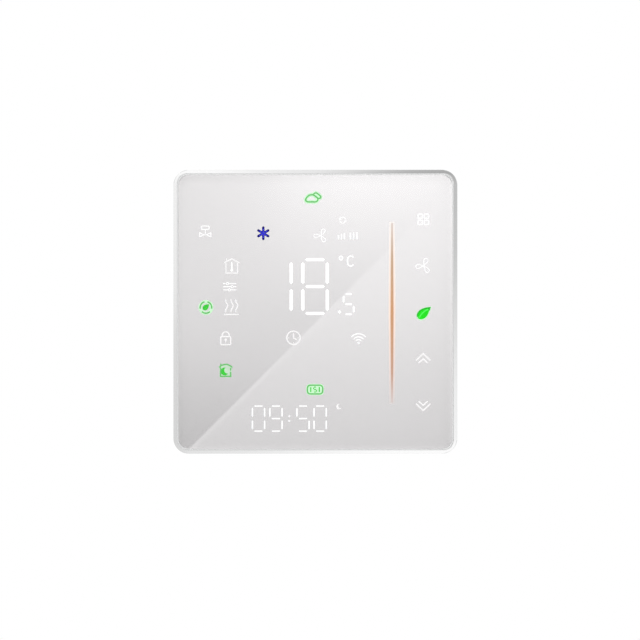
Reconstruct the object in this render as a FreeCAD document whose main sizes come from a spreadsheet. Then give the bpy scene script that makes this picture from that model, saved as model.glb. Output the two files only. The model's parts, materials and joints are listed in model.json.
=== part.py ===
"""Touch-screen wall thermostat: a glass-fronted display unit that plugs onto a steel wall tray
with a power box behind it.

Millimetres. X runs to the right of someone facing the wall, Y into the wall and Z up. The origin is
on the wall, at the centre of the tray's four screw slots. Places along Y are given as a depth in
front of the wall, so the glass is at a positive depth and the power box at a negative one.
"""

import FreeCAD, Part
import math
import os
import re

import Sketcher

# Driving dimensions: alias, value, what it is.
SIZES = [
    ("face_width", 86.0, "outer width and height of the front unit"),
    ("face_corner", 4.6, "outer corner radius of the front unit"),
    ("rim_front", 13.0, "depth of the frame's rim"),
    ("frame_back", 0.6, "depth of the frame's rear edge, a shadow gap off the wall"),
    ("rim_width", 1.2, "width of the rim around the glass"),
    ("rim_slope", 0.4, "height of the rim's outer slope"),
    ("frame_wall", 1.4, "side wall of the frame"),
    ("ledge_width", 78.2, "opening inside the ledge that the glass is glued to"),
    ("ledge_corner", 8.0, "corner radius of that opening"),
    ("ledge_thick", 1.1, "thickness of the ledge"),
    ("glass_front", 13.3, "depth of the glass's front face"),
    ("glass_thick", 2.0, "thickness of the glass"),
    ("glass_gap", 0.15, "gap all round between glass and rim"),
    ("glass_corner", 3.3, "corner radius of the glass"),
    ("glass_bevel", 0.35, "ground edge of the glass"),
    ("film_gap", 0.05, "room for the printed symbols between glass and film"),
    ("film_thick", 0.15, "printed mask film"),
    ("tape_thick", 0.2, "adhesive tape under the film's border"),
    ("tape_inner", 78.6, "window in the tape"),
    ("diffuser_width", 77.2, "diffuser sheet"),
    ("diffuser_thick", 0.3, "diffuser sheet"),
    ("layer_gap", 0.05, "gap between stacked sheets"),
    ("board_front", 7.0, "depth of the display board's front"),
    ("board_thick", 1.2, "display board"),
    ("board_width", 76.0, "display board"),
    ("notch_start", 33.0, "where the corner notches round the screw bosses begin"),
    ("light_box_width", 77.2, "light box"),
    ("cover_front", 3.2, "depth of the rear cover's front"),
    ("cover_back", 1.6, "depth of the rear cover's back"),
    ("cover_width", 77.0, "rear cover"),
    ("cover_corner", 3.0, "rear cover"),
    ("boss_place", 36.0, "corner screws of the front unit, from the centre"),
    ("boss_radius", 2.4, "screw bosses of the front unit"),
    ("boss_rib", 1.2, "ribs that hold those bosses"),
    ("boss_back", 5.2, "depth where the frame's bosses meet the cover's posts"),
    ("screw_radius", 0.95, "shank of the front unit's screws"),
    ("screw_head", 1.8, "head radius of the front unit's screws"),
    ("screw_head_thick", 0.8, "head of the front unit's screws"),
    ("screw_tip", 8.6, "depth of the front unit's screw tips"),
    ("pocket_length", 13.0, "screw-head pocket in the rear cover, along its slot"),
    ("pocket_width", 10.0, "screw-head pocket in the rear cover, across its slot"),
    ("pocket_front", 4.6, "depth of the pocket's outer face"),
    ("pocket_wall", 0.8, "wall of the pocket"),
    ("snap_place", 22.0, "snap lugs, from the centre"),
    ("snap_length", 8.0, "snap lugs"),
    ("snap_reach", 1.4, "how far a snap lug stands off the frame's wall"),
    ("snap_front", 3.6, "depth of a snap lug's front"),
    ("snap_back", 2.2, "depth of a snap lug's back"),
    ("vent_length", 8.0, "vent slots in the frame's top and bottom"),
    ("vent_width", 1.2, "vent slots"),
    ("vent_pitch", 11.0, "vent slots"),
    ("vent_depth", 7.5, "depth of the vent slots' middle"),
    ("notch_width", 9.0, "pry notches in the frame's lower edge"),
    ("notch_height", 1.3, "pry notches"),
    ("key_place", 32.7, "column of touch keys, right of the centre"),
    ("key_top", 28.2, "uppermost touch key, above the centre"),
    ("key_pitch", 14.2, "spacing of the touch keys"),
    ("key_hole", 4.2, "hole in the light box round a touch spring"),
    ("spring_radius", 2.6, "touch spring, to the middle of the wire"),
    ("spring_wire", 0.25, "radius of the touch spring's wire"),
    ("spring_turns", 3.0, "turns of a touch spring"),
    ("symbol_well", 1.7, "radius of the light well behind a symbol"),
    ("chip_length", 1.2, "LED chips"),
    ("chip_width", 0.6, "LED chips"),
    ("chip_thick", 0.5, "LED chips"),
    ("header_place", 10.0, "height of the plug connector above the centre"),
    ("pin_pitch", 2.54, "plug connector"),
    ("pin_width", 0.64, "square pins"),
    ("pin_hole", 0.9, "square holes for the pins"),
    ("pin_tip", -1.5, "depth of the pins' tips"),
    ("header_back", 3.4, "depth of the pin header's back"),
    ("socket_front", 2.7, "depth of the socket's front"),
    ("socket_width", 2.7, "socket across the row of pins"),
    ("tray_width", 80.0, "steel tray"),
    ("tray_corner", 3.0, "outer corner radius of the tray"),
    ("tray_thick", 1.0, "sheet thickness of the tray"),
    ("tray_flange", 5.0, "depth of the tray's folded rim"),
    ("tray_window_x", 40.0, "window in the tray, for the power box"),
    ("tray_window_z", 33.0, "window in the tray, for the power box"),
    ("slot_place", 30.0, "wall screw slots, from the centre"),
    ("slot_radius", 2.1, "half the width of a wall screw slot"),
    ("slot_length", 8.0, "wall screw slot, end to end"),
    ("box_width", 52.0, "power box"),
    ("box_height", 42.0, "power box"),
    ("box_corner_x", 20.5, "where the power box's corner cut meets its top and bottom"),
    ("box_corner_z", 13.5, "where the power box's corner cut meets its sides"),
    ("box_back", -26.0, "depth of the power box's rear face"),
    ("box_wall", 1.6, "wall of the power box"),
    ("box_boss_x", 23.0, "screws that hold the power box to the tray"),
    ("box_boss_z", 12.0, "screws that hold the power box to the tray"),
    ("box_boss_radius", 2.4, "bosses for those screws"),
    ("box_screw_radius", 1.2, "shank of the tray screws"),
    ("box_screw_head", 2.0, "head radius of the tray screws"),
    ("box_screw_tip", -6.5, "depth of the tray screws' tips"),
    ("step_top", -9.6, "height of the step that the terminals stand in"),
    ("step_depth", -9.0, "depth of the step's floor"),
    ("power_board_front", -5.8, "depth of the power board's front"),
    ("power_board_thick", 1.6, "power board"),
    ("lid_front", -0.05, "depth of the power box lid's front"),
    ("lid_thick", 1.5, "power box lid"),
    ("part_gap", 0.2, "clearance round the lid and the boards"),
    ("terminal_pitch", 5.08, "terminals"),
    ("terminal_top", -9.8, "top of the terminal block"),
    ("terminal_height", 9.4, "terminal block"),
    ("terminal_back", -21.4, "depth of the terminal block's rear face"),
    ("terminal_wall", 0.9, "outer wall of the terminal block"),
    ("cell_width", 4.1, "chamber for one clamp"),
    ("cell_height", 7.6, "chamber for one clamp"),
    ("cell_front", -9.4, "depth of the chamber's floor"),
    ("cell_back", -18.4, "depth of the chamber's roof"),
    ("entry_width", 3.4, "wire entry"),
    ("entry_front", -10.5, "depth of the wire entry's lower edge"),
    ("entry_back", -13.6, "depth of the wire entry's upper edge"),
    ("cage_width", 3.8, "rising clamp"),
    ("cage_height", 5.0, "rising clamp"),
    ("cage_wall", 0.9, "threaded and clamping walls of the rising clamp"),
    ("cage_side", 0.5, "side walls of the rising clamp"),
    ("cage_place", -14.9, "height of the clamps' middle"),
    ("cage_front", -9.6, "depth of the open clamp's lower face"),
    ("cage_back", -15.6, "depth of the open clamp's upper face"),
    ("cage_travel", 2.5, "stroke of the rising clamp"),
    ("clamp_screw_radius", 1.3, "thread of the terminal screws"),
    ("clamp_screw_head", 1.85, "head radius of the terminal screws"),
    ("clamp_screw_tip", -14.6, "depth of the terminal screws' tips"),
    ("clamp_shoulder", -19.4, "depth of the shoulder under the screw heads"),
    ("clamp_head_back", -21.0, "depth of the screw heads' tops"),
    ("clamp_hole", 2.0, "screwdriver hole above a terminal screw"),
    ("bar_thick", 0.8, "contact bar inside the clamp"),
    ("bar_width", 2.0, "contact bar"),
    ("relay_width", 7.2, "relay"),
    ("relay_height", 20.5, "relay"),
    ("relay_depth", 15.3, "relay"),
    ("relay_pitch", 7.5, "spacing of the relays"),
    ("relay_first", -18.9, "middle of the first relay"),
    ("relay_middle", 3.75, "height of the relays' middle"),
]

TERMINALS = 8
RELAYS = 5
KEYS = 5
PINS = 8
VENTS = 6

# Seven-segment figures: middle (x, z), width and height to the segments' outer edges, segment width.
DIGITS = {
    "tens": (-11.0, 7.6, 8.8, 17.7, 1.3),
    "units": (0.0, 7.6, 8.8, 17.7, 1.3),
    "tenths": (10.1, 2.3, 3.9, 7.0, 0.7),
    "hour_tens": (-17.2, -32.3, 4.4, 8.2, 0.6),
    "hour_units": (-12.0, -32.3, 4.4, 8.2, 0.6),
    "minute_tens": (-3.7, -32.3, 4.4, 8.2, 0.6),
    "minute_units": (1.5, -32.3, 4.4, 8.2, 0.6),
}
WELL_MARGIN = 0.2
WELL_SHARE = 0.7  # share of a segment's length that its light well takes

# Middles (x, z) of the symbols that have a round light well behind them.
SYMBOLS = {
    "weather": (-0.6, 34.6),
    "valve": (-33.3, 24.1),
    "cooling": (-15.8, 23.8),
    "fan_speed": (1.7, 23.1),
    "fan_bars_low": (7.8, 22.9),
    "fan_bars_high": (11.6, 22.9),
    "unit_mark": (9.9, 15.6),
    "room": (-25.4, 13.7),
    "setting": (-26.0, 7.6),
    "heating": (-25.7, 1.4),
    "eco": (-33.2, 1.4),
    "lock": (-27.3, -8.0),
    "timer": (-6.7, -8.0),
    "wireless": (13.1, -8.0),
    "night": (-27.3, -17.8),
    "weekday": (-0.1, -23.6),
    "half_day": (7.2, -28.7),
}

doc = FreeCAD.newDocument("wall_thermostat")
sheet = doc.addObject("Spreadsheet::Sheet", "Sizes")
subparts = []


# ---- the sheet and its expressions ------------------------------------------------------------


def layout_cells():
    """Cells for the figures' and symbols' places, named after each of them."""
    for digit, numbers in DIGITS.items():
        for part, size in zip(("x", "z", "width", "height", "stroke"), numbers):
            yield f"{digit}_{part}", size, f"{digit} figure"
    for symbol, (x, z) in SYMBOLS.items():
        yield f"{symbol}_x", x, f"{symbol} symbol"
        yield f"{symbol}_z", z, f"{symbol} symbol"


SIZES += layout_cells()
ALIASES = {alias for alias, _, _ in SIZES}


def fill_sheet():
    for row, (alias, size, meaning) in enumerate(SIZES, start=1):
        sheet.set(f"A{row}", meaning)
        sheet.set(f"B{row}", str(size))
        sheet.setAlias(f"B{row}", alias)
    doc.recompute()


def cells(text):
    """An expression with every alias in it written as the sheet's cell."""
    return re.sub(r"[a-z][a-z0-9_]*", lambda m: "Sizes." + m[0] if m[0] in ALIASES else m[0], str(text))


def value(text):
    """The number that an expression in the sheet's aliases comes to."""
    return float(sheet.evalExpression(cells(text)))


def bind(thing, **sizes):
    for name, text in sizes.items():
        thing.setExpression(name, cells(text))


def place(thing, x="0", y="0", z="0"):
    for axis, text in (("x", x), ("y", y), ("z", z)):
        thing.setExpression(f"Placement.Base.{axis}", cells(text))
    return thing


def keep(thing, name):
    """Marks an object as one of the sub-parts, under its own label."""
    thing.Label = name
    subparts.append(thing)
    return thing


# ---- Part Design helpers: bodies whose sketches lie parallel to the wall ----------------------


def new_body(name, depth):
    """A body whose sketch plane is at that depth and faces the room."""
    body = doc.addObject("PartDesign::Body", name)
    place(body, y=f"-({depth})")
    return keep(body, name)


def sketch(body, name, forward="0", plane="XZ_Plane"):
    """A sketch parallel to the wall, or on another origin plane, moved along its own normal."""
    drawing = body.newObject("Sketcher::SketchObject", f"{body.Name}_{name}")
    support = next(o for o in body.Origin.OriginFeatures if o.Role == plane)
    drawing.AttachmentSupport = [(support, "")]
    drawing.MapMode = "FlatFace"
    drawing.setExpression("AttachmentOffset.Base.z", cells(forward))
    return drawing


def pin_point(drawing, geometry, point, x, z):
    """Fixes a point's place from the origin; None leaves that direction alone."""
    for kind, text in (("DistanceX", x), ("DistanceY", z)):
        if text is None:
            continue
        rule = Sketcher.Constraint(kind, -1, 1, geometry, point, value(text))
        index = drawing.addConstraint(rule)
        drawing.setExpression(f"Constraints[{index}]", cells(text))


def polygon(drawing, corners):
    """A closed outline through corners, each an (x, z) pair of expressions."""
    points = [FreeCAD.Vector(value(x), value(z), 0) for x, z in corners]
    first = drawing.GeometryCount
    for start, end in zip(points, points[1:] + points[:1]):
        drawing.addGeometry(Part.LineSegment(start, end), False)
    for i, (x, z) in enumerate(corners):
        edge, following = first + i, first + (i + 1) % len(corners)
        drawing.addConstraint(Sketcher.Constraint("Coincident", edge, 2, following, 1))
        pin_point(drawing, edge, 1, x, z)


def rectangle(drawing, width, height, x="0", z="0"):
    right, top = f"({width}) / 2", f"({height}) / 2"
    signs = ((-1, -1), (1, -1), (1, 1), (-1, 1))
    polygon(drawing, [(f"{x} + {i} * {right}", f"{z} + {j} * {top}") for i, j in signs])


def rounded(drawing, width, height, radius):
    """A rectangle about the origin with rounded corners, drawn as four arcs joined by lines."""
    across, up, r = f"(({width}) / 2 - ({radius}))", f"(({height}) / 2 - ({radius}))", f"({radius})"
    arcs = []
    for quarter, (i, j) in enumerate(((1, 1), (-1, 1), (-1, -1), (1, -1))):
        x, z, turn = f"{i} * {across}", f"{j} * {up}", quarter * math.pi / 2
        rim = Part.Circle(FreeCAD.Vector(value(x), value(z), 0), FreeCAD.Vector(0, 0, 1), value(radius))
        arc = drawing.addGeometry(Part.ArcOfCircle(rim, turn, turn + math.pi / 2), False)
        pin_point(drawing, arc, 3, x, z)
        if quarter % 2 == 0:
            pin_point(drawing, arc, 1, f"{x} + {i} * {r}", z)
            pin_point(drawing, arc, 2, x, None)
        else:
            pin_point(drawing, arc, 1, x, f"{z} + {j} * {r}")
            pin_point(drawing, arc, 2, None, z)
        arcs.append(arc)
    for arc, following in zip(arcs, arcs[1:] + arcs[:1]):
        ends = drawing.getPoint(arc, 2), drawing.getPoint(following, 1)
        line = drawing.addGeometry(Part.LineSegment(*ends), False)
        drawing.addConstraint(Sketcher.Constraint("Coincident", line, 1, arc, 2))
        drawing.addConstraint(Sketcher.Constraint("Coincident", line, 2, following, 1))


def circle(drawing, radius, x="0", z="0"):
    middle = FreeCAD.Vector(value(x), value(z), 0)
    index = drawing.addGeometry(Part.Circle(middle, FreeCAD.Vector(0, 0, 1), value(radius)), False)
    pin_point(drawing, index, 3, x, z)
    rule = drawing.addConstraint(Sketcher.Constraint("Radius", index, value(radius)))
    drawing.setExpression(f"Constraints[{rule}]", cells(radius))


def pad(body, drawing, length):
    feature = body.newObject("PartDesign::Pad", f"{drawing.Name}_pad")
    feature.Profile = drawing
    bind(feature, Length=length)
    doc.recompute()
    return feature


def pocket(body, drawing, length=None):
    """Cuts from the sketch towards the wall, or right through where no length is given."""
    before = body.Shape.Volume
    feature = body.newObject("PartDesign::Pocket", f"{drawing.Name}_pocket")
    feature.Profile = drawing
    if length is None:
        feature.Type = "ThroughAll"
        feature.Midplane = True
    else:
        bind(feature, Length=length)
    doc.recompute()
    if not feature.Shape.Volume < before - 1e-6:
        raise RuntimeError(f"{feature.Name} cuts nothing")
    return feature


def picked_edges(feature, wanted):
    names = [f"Edge{i}" for i, edge in enumerate(feature.Shape.Edges, start=1) if wanted(edge)]
    if not names:
        raise RuntimeError(f"no edge of {feature.Name} is picked")
    return names


def runs_into_wall(edge):
    a, b = edge.Vertexes[0].Point, edge.Vertexes[-1].Point
    return abs(a.x - b.x) < 1e-6 and abs(a.z - b.z) < 1e-6 and abs(a.y - b.y) > 1e-6


def fillet(body, radius, wanted):
    base = body.Tip
    names = picked_edges(base, wanted)
    feature = body.newObject("PartDesign::Fillet", f"{body.Name}_fillet")
    feature.Base = (base, names)
    bind(feature, Radius=radius)
    doc.recompute()
    return feature


def chamfer(body, size, wanted, second=None, flip=False):
    base = body.Tip
    names = picked_edges(base, wanted)
    feature = body.newObject("PartDesign::Chamfer", f"{body.Name}_chamfer")
    feature.Base = (base, names)
    bind(feature, Size=size)
    if second is not None:
        feature.ChamferType = "Two distances"
        bind(feature, Size2=second)
        feature.FlipDirection = flip
    doc.recompute()
    return feature


def sheet_part(name, width, front, thick, corner):
    """A flat square sheet with rounded corners, its front at that depth."""
    body = new_body(name, f"({front}) - ({thick})")
    outline = sketch(body, "outline")
    rounded(outline, width, width, corner)
    pad(body, outline, thick)
    return body


# ---- Part helpers: primitives and booleans ----------------------------------------------------

INTO_WALL = FreeCAD.Rotation(FreeCAD.Vector(1, 0, 0), -90)
SIDEWAYS = FreeCAD.Rotation(FreeCAD.Vector(0, 1, 0), 90)


def block(name, width, height, front, back, x="0", z="0"):
    """A box centred on (x, z) that reaches from one depth to the other."""
    box = doc.addObject("Part::Box", name)
    bind(box, Length=width, Width=f"({front}) - ({back})", Height=height)
    return place(box, f"({x}) - ({width}) / 2", f"-({front})", f"({z}) - ({height}) / 2")


def rod(name, radius, front, back, x="0", z="0"):
    """A cylinder whose axis runs into the wall."""
    cylinder = doc.addObject("Part::Cylinder", name)
    cylinder.Placement.Rotation = INTO_WALL
    bind(cylinder, Radius=radius, Height=f"({front}) - ({back})")
    return place(cylinder, x, f"-({front})", z)


def cone(name, front_radius, back_radius, front, back, x="0", z="0"):
    taper = doc.addObject("Part::Cone", name)
    taper.Placement.Rotation = INTO_WALL
    bind(taper, Radius1=front_radius, Radius2=back_radius, Height=f"({front}) - ({back})")
    return place(taper, x, f"-({front})", z)


def fuse(name, pieces):
    joined = doc.addObject("Part::MultiFuse", name)
    joined.Shapes = pieces
    return joined


def cut(name, base, tools):
    remaining = doc.addObject("Part::Cut", name)
    remaining.Base = base
    remaining.Tool = tools[0] if len(tools) == 1 else fuse(f"{name}_tools", tools)
    return remaining


def group(name, pieces):
    together = doc.addObject("Part::Compound", name)
    together.Links = pieces
    return together


def corners(half_x, half_z=None):
    """The four places (x, z) at plus and minus those expressions."""
    half_z = half_x if half_z is None else half_z
    return [(f"{i} * ({half_x})", f"{j} * ({half_z})") for i in (-1, 1) for j in (-1, 1)]


# ---- depths that follow from the sheet --------------------------------------------------------

GLASS_BACK = "glass_front - glass_thick"
FILM_FRONT = f"{GLASS_BACK} - film_gap"
FILM_BACK = f"{FILM_FRONT} - film_thick"
LEDGE_FRONT = f"{FILM_BACK} - tape_thick"
LEDGE_BACK = f"{LEDGE_FRONT} - ledge_thick"
DIFFUSER_FRONT = f"{FILM_BACK} - layer_gap"
LIGHT_FRONT = f"{DIFFUSER_FRONT} - diffuser_thick - layer_gap"
BOARD_BACK = "board_front - board_thick"
GLASS_WIDTH = "face_width - 2 * rim_width - 2 * glass_gap"
POWER_BOARD_BACK = "power_board_front - power_board_thick"
TERMINAL_MIDDLE = "terminal_top - terminal_height / 2"
LEG_PLACE = f"{TERMINAL_MIDDLE} + cell_height / 2 - bar_thick / 2 - 0.1"
SLOTS = [  # middle (x, z) of each wall screw slot, and whether it lies level
    ("slot_place", "0", True),
    ("-slot_place", "0", True),
    ("0", "slot_place", False),
    ("0", "-slot_place", False),
]


# ---- front unit: glass, frame and sheets ------------------------------------------------------


def front_glass():
    body = sheet_part("front_glass", GLASS_WIDTH, "glass_front", "glass_thick", "glass_corner")
    front = -value("glass_thick")
    chamfer(body, "glass_bevel", lambda edge: all(abs(v.Point.y - front) < 1e-6 for v in edge.Vertexes))


def front_frame():
    body = new_body("front_frame", "frame_back")
    outline = sketch(body, "outline")
    rounded(outline, "face_width", "face_width", "face_corner")
    pad(body, outline, "rim_front - frame_back")
    front = -value("rim_front - frame_back")
    chamfer(
        body,
        "rim_slope",
        lambda edge: all(abs(v.Point.y - front) < 1e-6 for v in edge.Vertexes),
        second="rim_width - 0.2",
    )
    seat = sketch(body, "seat", "rim_front - frame_back")
    rounded(seat, "face_width - 2 * rim_width", "face_width - 2 * rim_width", "glass_corner + glass_gap")
    pocket(body, seat, f"rim_front - ({LEDGE_FRONT})")
    hollow = sketch(body, "hollow", f"{LEDGE_BACK} - frame_back")
    inner = "face_width - 2 * frame_wall"
    rounded(hollow, inner, inner, "face_corner - frame_wall")
    pocket(body, hollow, f"{LEDGE_BACK} - frame_back")
    opening = sketch(body, "opening")
    rounded(opening, "ledge_width", "ledge_width", "ledge_corner")
    pocket(body, opening)
    frame_bosses(body)
    frame_lugs(body)
    frame_openings(body)


def frame_bosses(body):
    """Blind screw bosses in the corners, each on two ribs from the walls."""
    bosses = sketch(body, "bosses", "boss_back - frame_back")
    for x, z in corners("boss_place"):
        circle(bosses, "boss_radius", x, z)
    pad(body, bosses, f"{LEDGE_BACK} - boss_back")
    reach = "face_width / 2 - frame_wall - boss_place"
    middle = f"boss_place + ({reach}) / 2"
    level = sketch(body, "level_ribs", "boss_back - frame_back")
    upright = sketch(body, "upright_ribs", "boss_back - frame_back")
    for x, z in corners(middle, "boss_place"):
        rectangle(level, reach, "boss_rib", x, z)
    for x, z in corners("boss_place", middle):
        rectangle(upright, "boss_rib", reach, x, z)
    pad(body, level, f"{LEDGE_BACK} - boss_back")
    pad(body, upright, f"{LEDGE_BACK} - boss_back")
    holes = sketch(body, "boss_holes", "screw_tip + 0.4 - frame_back")
    for x, z in corners("boss_place"):
        circle(holes, "screw_radius + 0.05", x, z)
    pocket(body, holes, "screw_tip + 0.4 - boss_back")


def frame_lugs(body):
    """Snap lugs inside the top and bottom walls, which ride over the tray's folded rim."""
    lugs = sketch(body, "snap_lugs", "snap_back - frame_back")
    for x, z in corners("snap_place", "face_width / 2 - frame_wall - snap_reach / 2"):
        rectangle(lugs, "snap_length", "snap_reach", x, z)
    pad(body, lugs, "snap_front - snap_back")


def frame_openings(body):
    """Vent slots through the top and bottom walls, and pry notches in the lower edge."""
    vents = sketch(body, "vents", plane="XY_Plane")
    for i in range(VENTS):
        x = f"({i} - {(VENTS - 1) / 2}) * vent_pitch"
        rectangle(vents, "vent_length", "vent_width", x, "frame_back - vent_depth")
    pocket(body, vents)
    notches = sketch(body, "pry_notches", "notch_height")
    z = "-face_width / 2 + frame_wall / 2"
    for side in (-1, 1):
        rectangle(notches, "notch_width", "2 * frame_wall", f"{side} * snap_place", z)
    pocket(body, notches, "notch_height")


def glass_tape():
    body = sheet_part("glass_tape", GLASS_WIDTH, FILM_BACK, "tape_thick", "glass_corner")
    window = sketch(body, "window")
    rounded(window, "tape_inner", "tape_inner", "ledge_corner")
    pocket(body, window)


def rear_cover():
    body = sheet_part("rear_cover", "cover_width", "cover_front", "cover_front - cover_back", "cover_corner")
    domes = sketch(body, "pocket_domes")
    for x, z, level in SLOTS:
        long, short = "pocket_length + 2 * pocket_wall", "pocket_width + 2 * pocket_wall"
        rectangle(domes, *((long, short) if level else (short, long)), x, z)
    pad(body, domes, "pocket_front - cover_back")
    pockets = sketch(body, "head_pockets", "pocket_front - pocket_wall - cover_back")
    for x, z, level in SLOTS:
        size = ("pocket_length", "pocket_width") if level else ("pocket_width", "pocket_length")
        rectangle(pockets, *size, x, z)
    pocket(body, pockets, "pocket_front - pocket_wall - cover_back")
    posts = sketch(body, "posts")
    for x, z in corners("boss_place"):
        circle(posts, "boss_radius", x, z)
    pad(body, posts, "boss_back - cover_back")
    props = sketch(body, "board_props")
    for x, z in corners("25", "35"):
        circle(props, "1.2", x, z)
    pad(body, props, f"{BOARD_BACK} - cover_back")
    holes = sketch(body, "screw_holes")
    for x, z in corners("boss_place"):
        circle(holes, "screw_radius + 0.1", x, z)
    rectangle(holes, "pin_pitch * 8 + 2", "socket_width + 1.4", "0", "header_place")
    for side in (-1, 1):
        for row in range(4):
            rectangle(holes, "12", "vent_width", f"{side} * 17", f"-18 - {row} * 3")
    pocket(body, holes)
    seats = sketch(body, "screw_seats", "screw_head_thick + 0.1")
    for x, z in corners("boss_place"):
        circle(seats, "screw_head + 0.15", x, z)
    pocket(body, seats, "screw_head_thick + 0.1")


def driven_screw(name, x, z, tip, head_back, shank, head, head_thick):
    """A cross-head screw driven from the wall side; its head faces the wall."""
    head_front = f"{head_back} + {head_thick}"
    stem = rod(f"{name}_shank", shank, tip, head_front, x, z)
    cap = rod(f"{name}_head", head, head_front, head_back, x, z)
    long, short, deep = f"1.1 * ({head})", f"0.28 * ({head})", f"{head_back} + 0.6 * ({head_thick})"
    cross = [
        block(f"{name}_level", long, short, deep, f"{head_back} - 0.1", x, z),
        block(f"{name}_upright", short, long, deep, f"{head_back} - 0.1", x, z),
    ]
    return cut(name, fuse(f"{name}_solid", [stem, cap]), cross)


def cover_screws():
    sizes = ("screw_tip", "cover_back + 0.05", "screw_radius", "screw_head", "screw_head_thick")
    places = enumerate(corners("boss_place"), start=1)
    screws = [driven_screw(f"cover_screw_{i}", x, z, *sizes) for i, (x, z) in places]
    keep(group("cover_screws", screws), "cover_screws")


# ---- front unit: light box and display board --------------------------------------------------


def segments(digit):
    """The seven segments of a figure, as (x, z, width, height, level) in expressions."""
    x, z, wide, high, thick = (f"{digit}_{part}" for part in ("x", "z", "width", "height", "stroke"))
    for row in (-1, 0, 1):
        yield x, f"{z} + {row} * ({high} - {thick}) / 2", f"{wide} - 2 * {thick}", thick, True
    for side in (-1, 1):
        for half in (-1, 1):
            middle = f"{x} + {side} * ({wide} - {thick}) / 2", f"{z} + {half} * {high} / 4"
            yield *middle, thick, f"{high} / 2 - {thick}", False


def notch_corners(body, width):
    """Square notches that clear the corner screw bosses."""
    notches = sketch(body, "corner_notches")
    reach = f"({width}) / 2 - notch_start"
    for x, z in corners(f"notch_start + ({reach}) / 2 + 0.5"):
        rectangle(notches, f"{reach} + 1", f"{reach} + 1", x, z)
    pocket(body, notches)


def key_places():
    return [("key_place", f"key_top - {i} * key_pitch") for i in range(KEYS)]


def light_box():
    body = new_body("light_box", "board_front")
    outline = sketch(body, "outline")
    rectangle(outline, "light_box_width", "light_box_width")
    pad(body, outline, f"{LIGHT_FRONT} - board_front")
    notch_corners(body, "light_box_width")
    for digit in DIGITS:
        wells = sketch(body, f"{digit}_wells")
        short = f"{digit}_stroke + {2 * WELL_MARGIN}"
        for x, z, width, height, level in segments(digit):
            long = f"{WELL_SHARE} * ({width if level else height})"
            rectangle(wells, *((long, short) if level else (short, long)), x, z)
        pocket(body, wells)
    rounds = sketch(body, "symbol_wells")
    for symbol in SYMBOLS:
        circle(rounds, "symbol_well", f"{symbol}_x", f"{symbol}_z")
    for x, z in key_places():
        circle(rounds, "key_hole", x, z)
    pocket(body, rounds)


def display_board():
    body = new_body("display_board", BOARD_BACK)
    outline = sketch(body, "outline")
    rectangle(outline, "board_width", "board_width")
    pad(body, outline, "board_thick")
    notch_corners(body, "board_width")


def display_leds():
    """One chip at the bottom of every light well, and one inside each touch spring."""
    places = [(x, z, level) for digit in DIGITS for x, z, _, _, level in segments(digit)]
    places += [(f"{symbol}_x", f"{symbol}_z", True) for symbol in SYMBOLS]
    places += [(x, z, True) for x, z in key_places()]
    chips = []
    for i, (x, z, level) in enumerate(places, start=1):
        size = ("chip_length", "chip_width") if level else ("chip_width", "chip_length")
        chips.append(block(f"led_{i}", *size, "board_front + chip_thick", "board_front", x, z))
    keep(group("display_leds", chips), "display_leds")


def touch_springs():
    """Coil springs, of wire drawn with eight sides, that carry each key's touch to the board."""
    wire, radius, turns = value("spring_wire"), value("spring_radius"), value("spring_turns")
    bottom, top = value("board_front") + wire, value(LIGHT_FRONT) - wire
    coil = Part.makeHelix((top - bottom) / turns, top - bottom, radius)
    slope = math.atan2((top - bottom) / turns, 2 * math.pi * radius)
    across = FreeCAD.Vector(0, -math.sin(slope), math.cos(slope))
    angles = [math.pi / 4 * i for i in range(8)]
    rim = [FreeCAD.Vector(radius + wire * math.cos(a), 0, 0) + across * wire * math.sin(a) for a in angles]
    section = Part.makePolygon(rim + rim[:1])
    spring = Part.Wire(coil.Edges).makePipeShell([section], True, True)
    spring.rotate(FreeCAD.Vector(0, 0, 0), FreeCAD.Vector(1, 0, 0), 90)
    springs = []
    for x, z in key_places():
        copy = spring.copy()
        copy.translate(FreeCAD.Vector(value(x), -bottom, value(z)))
        springs.append(copy)
    feature = doc.addObject("Part::Feature", "touch_springs")
    feature.Shape = Part.makeCompound(springs)
    keep(feature, "touch_springs")


def board_parts():
    """What is soldered to the back of the display board."""
    keep(block("control_chip", "10", "10", BOARD_BACK, f"{BOARD_BACK} - 1.2", "0", "-12"), "control_chip")
    keep(block("touch_chip", "5", "5", BOARD_BACK, f"{BOARD_BACK} - 0.9", "21", "14"), "touch_chip")
    keep(block("radio_board", "16", "18", BOARD_BACK, f"{BOARD_BACK} - 0.8", "-17", "24"), "radio_board")
    shield = block("radio_shield", "13", "11", f"{BOARD_BACK} - 0.8", f"{BOARD_BACK} - 2.2", "-17", "21.5")
    keep(shield, "radio_shield")
    cell = fuse(
        "backup_cell_solid",
        [
            rod("cell_can", "6.25", f"{BOARD_BACK} - 0.1", f"{BOARD_BACK} - 1.9", "17", "-19"),
            rod("cell_cap", "5.2", f"{BOARD_BACK} - 1.9", f"{BOARD_BACK} - 2.1", "17", "-19"),
        ],
    )
    keep(cell, "backup_cell")
    sounder = cut(
        "buzzer_solid",
        block("buzzer_case", "8.5", "8.5", BOARD_BACK, f"{BOARD_BACK} - 2.2", "-18", "-21"),
        [rod("buzzer_port", "1", f"{BOARD_BACK} - 1.4", f"{BOARD_BACK} - 2.3", "-18", "-21")],
    )
    keep(sounder, "buzzer")


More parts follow.
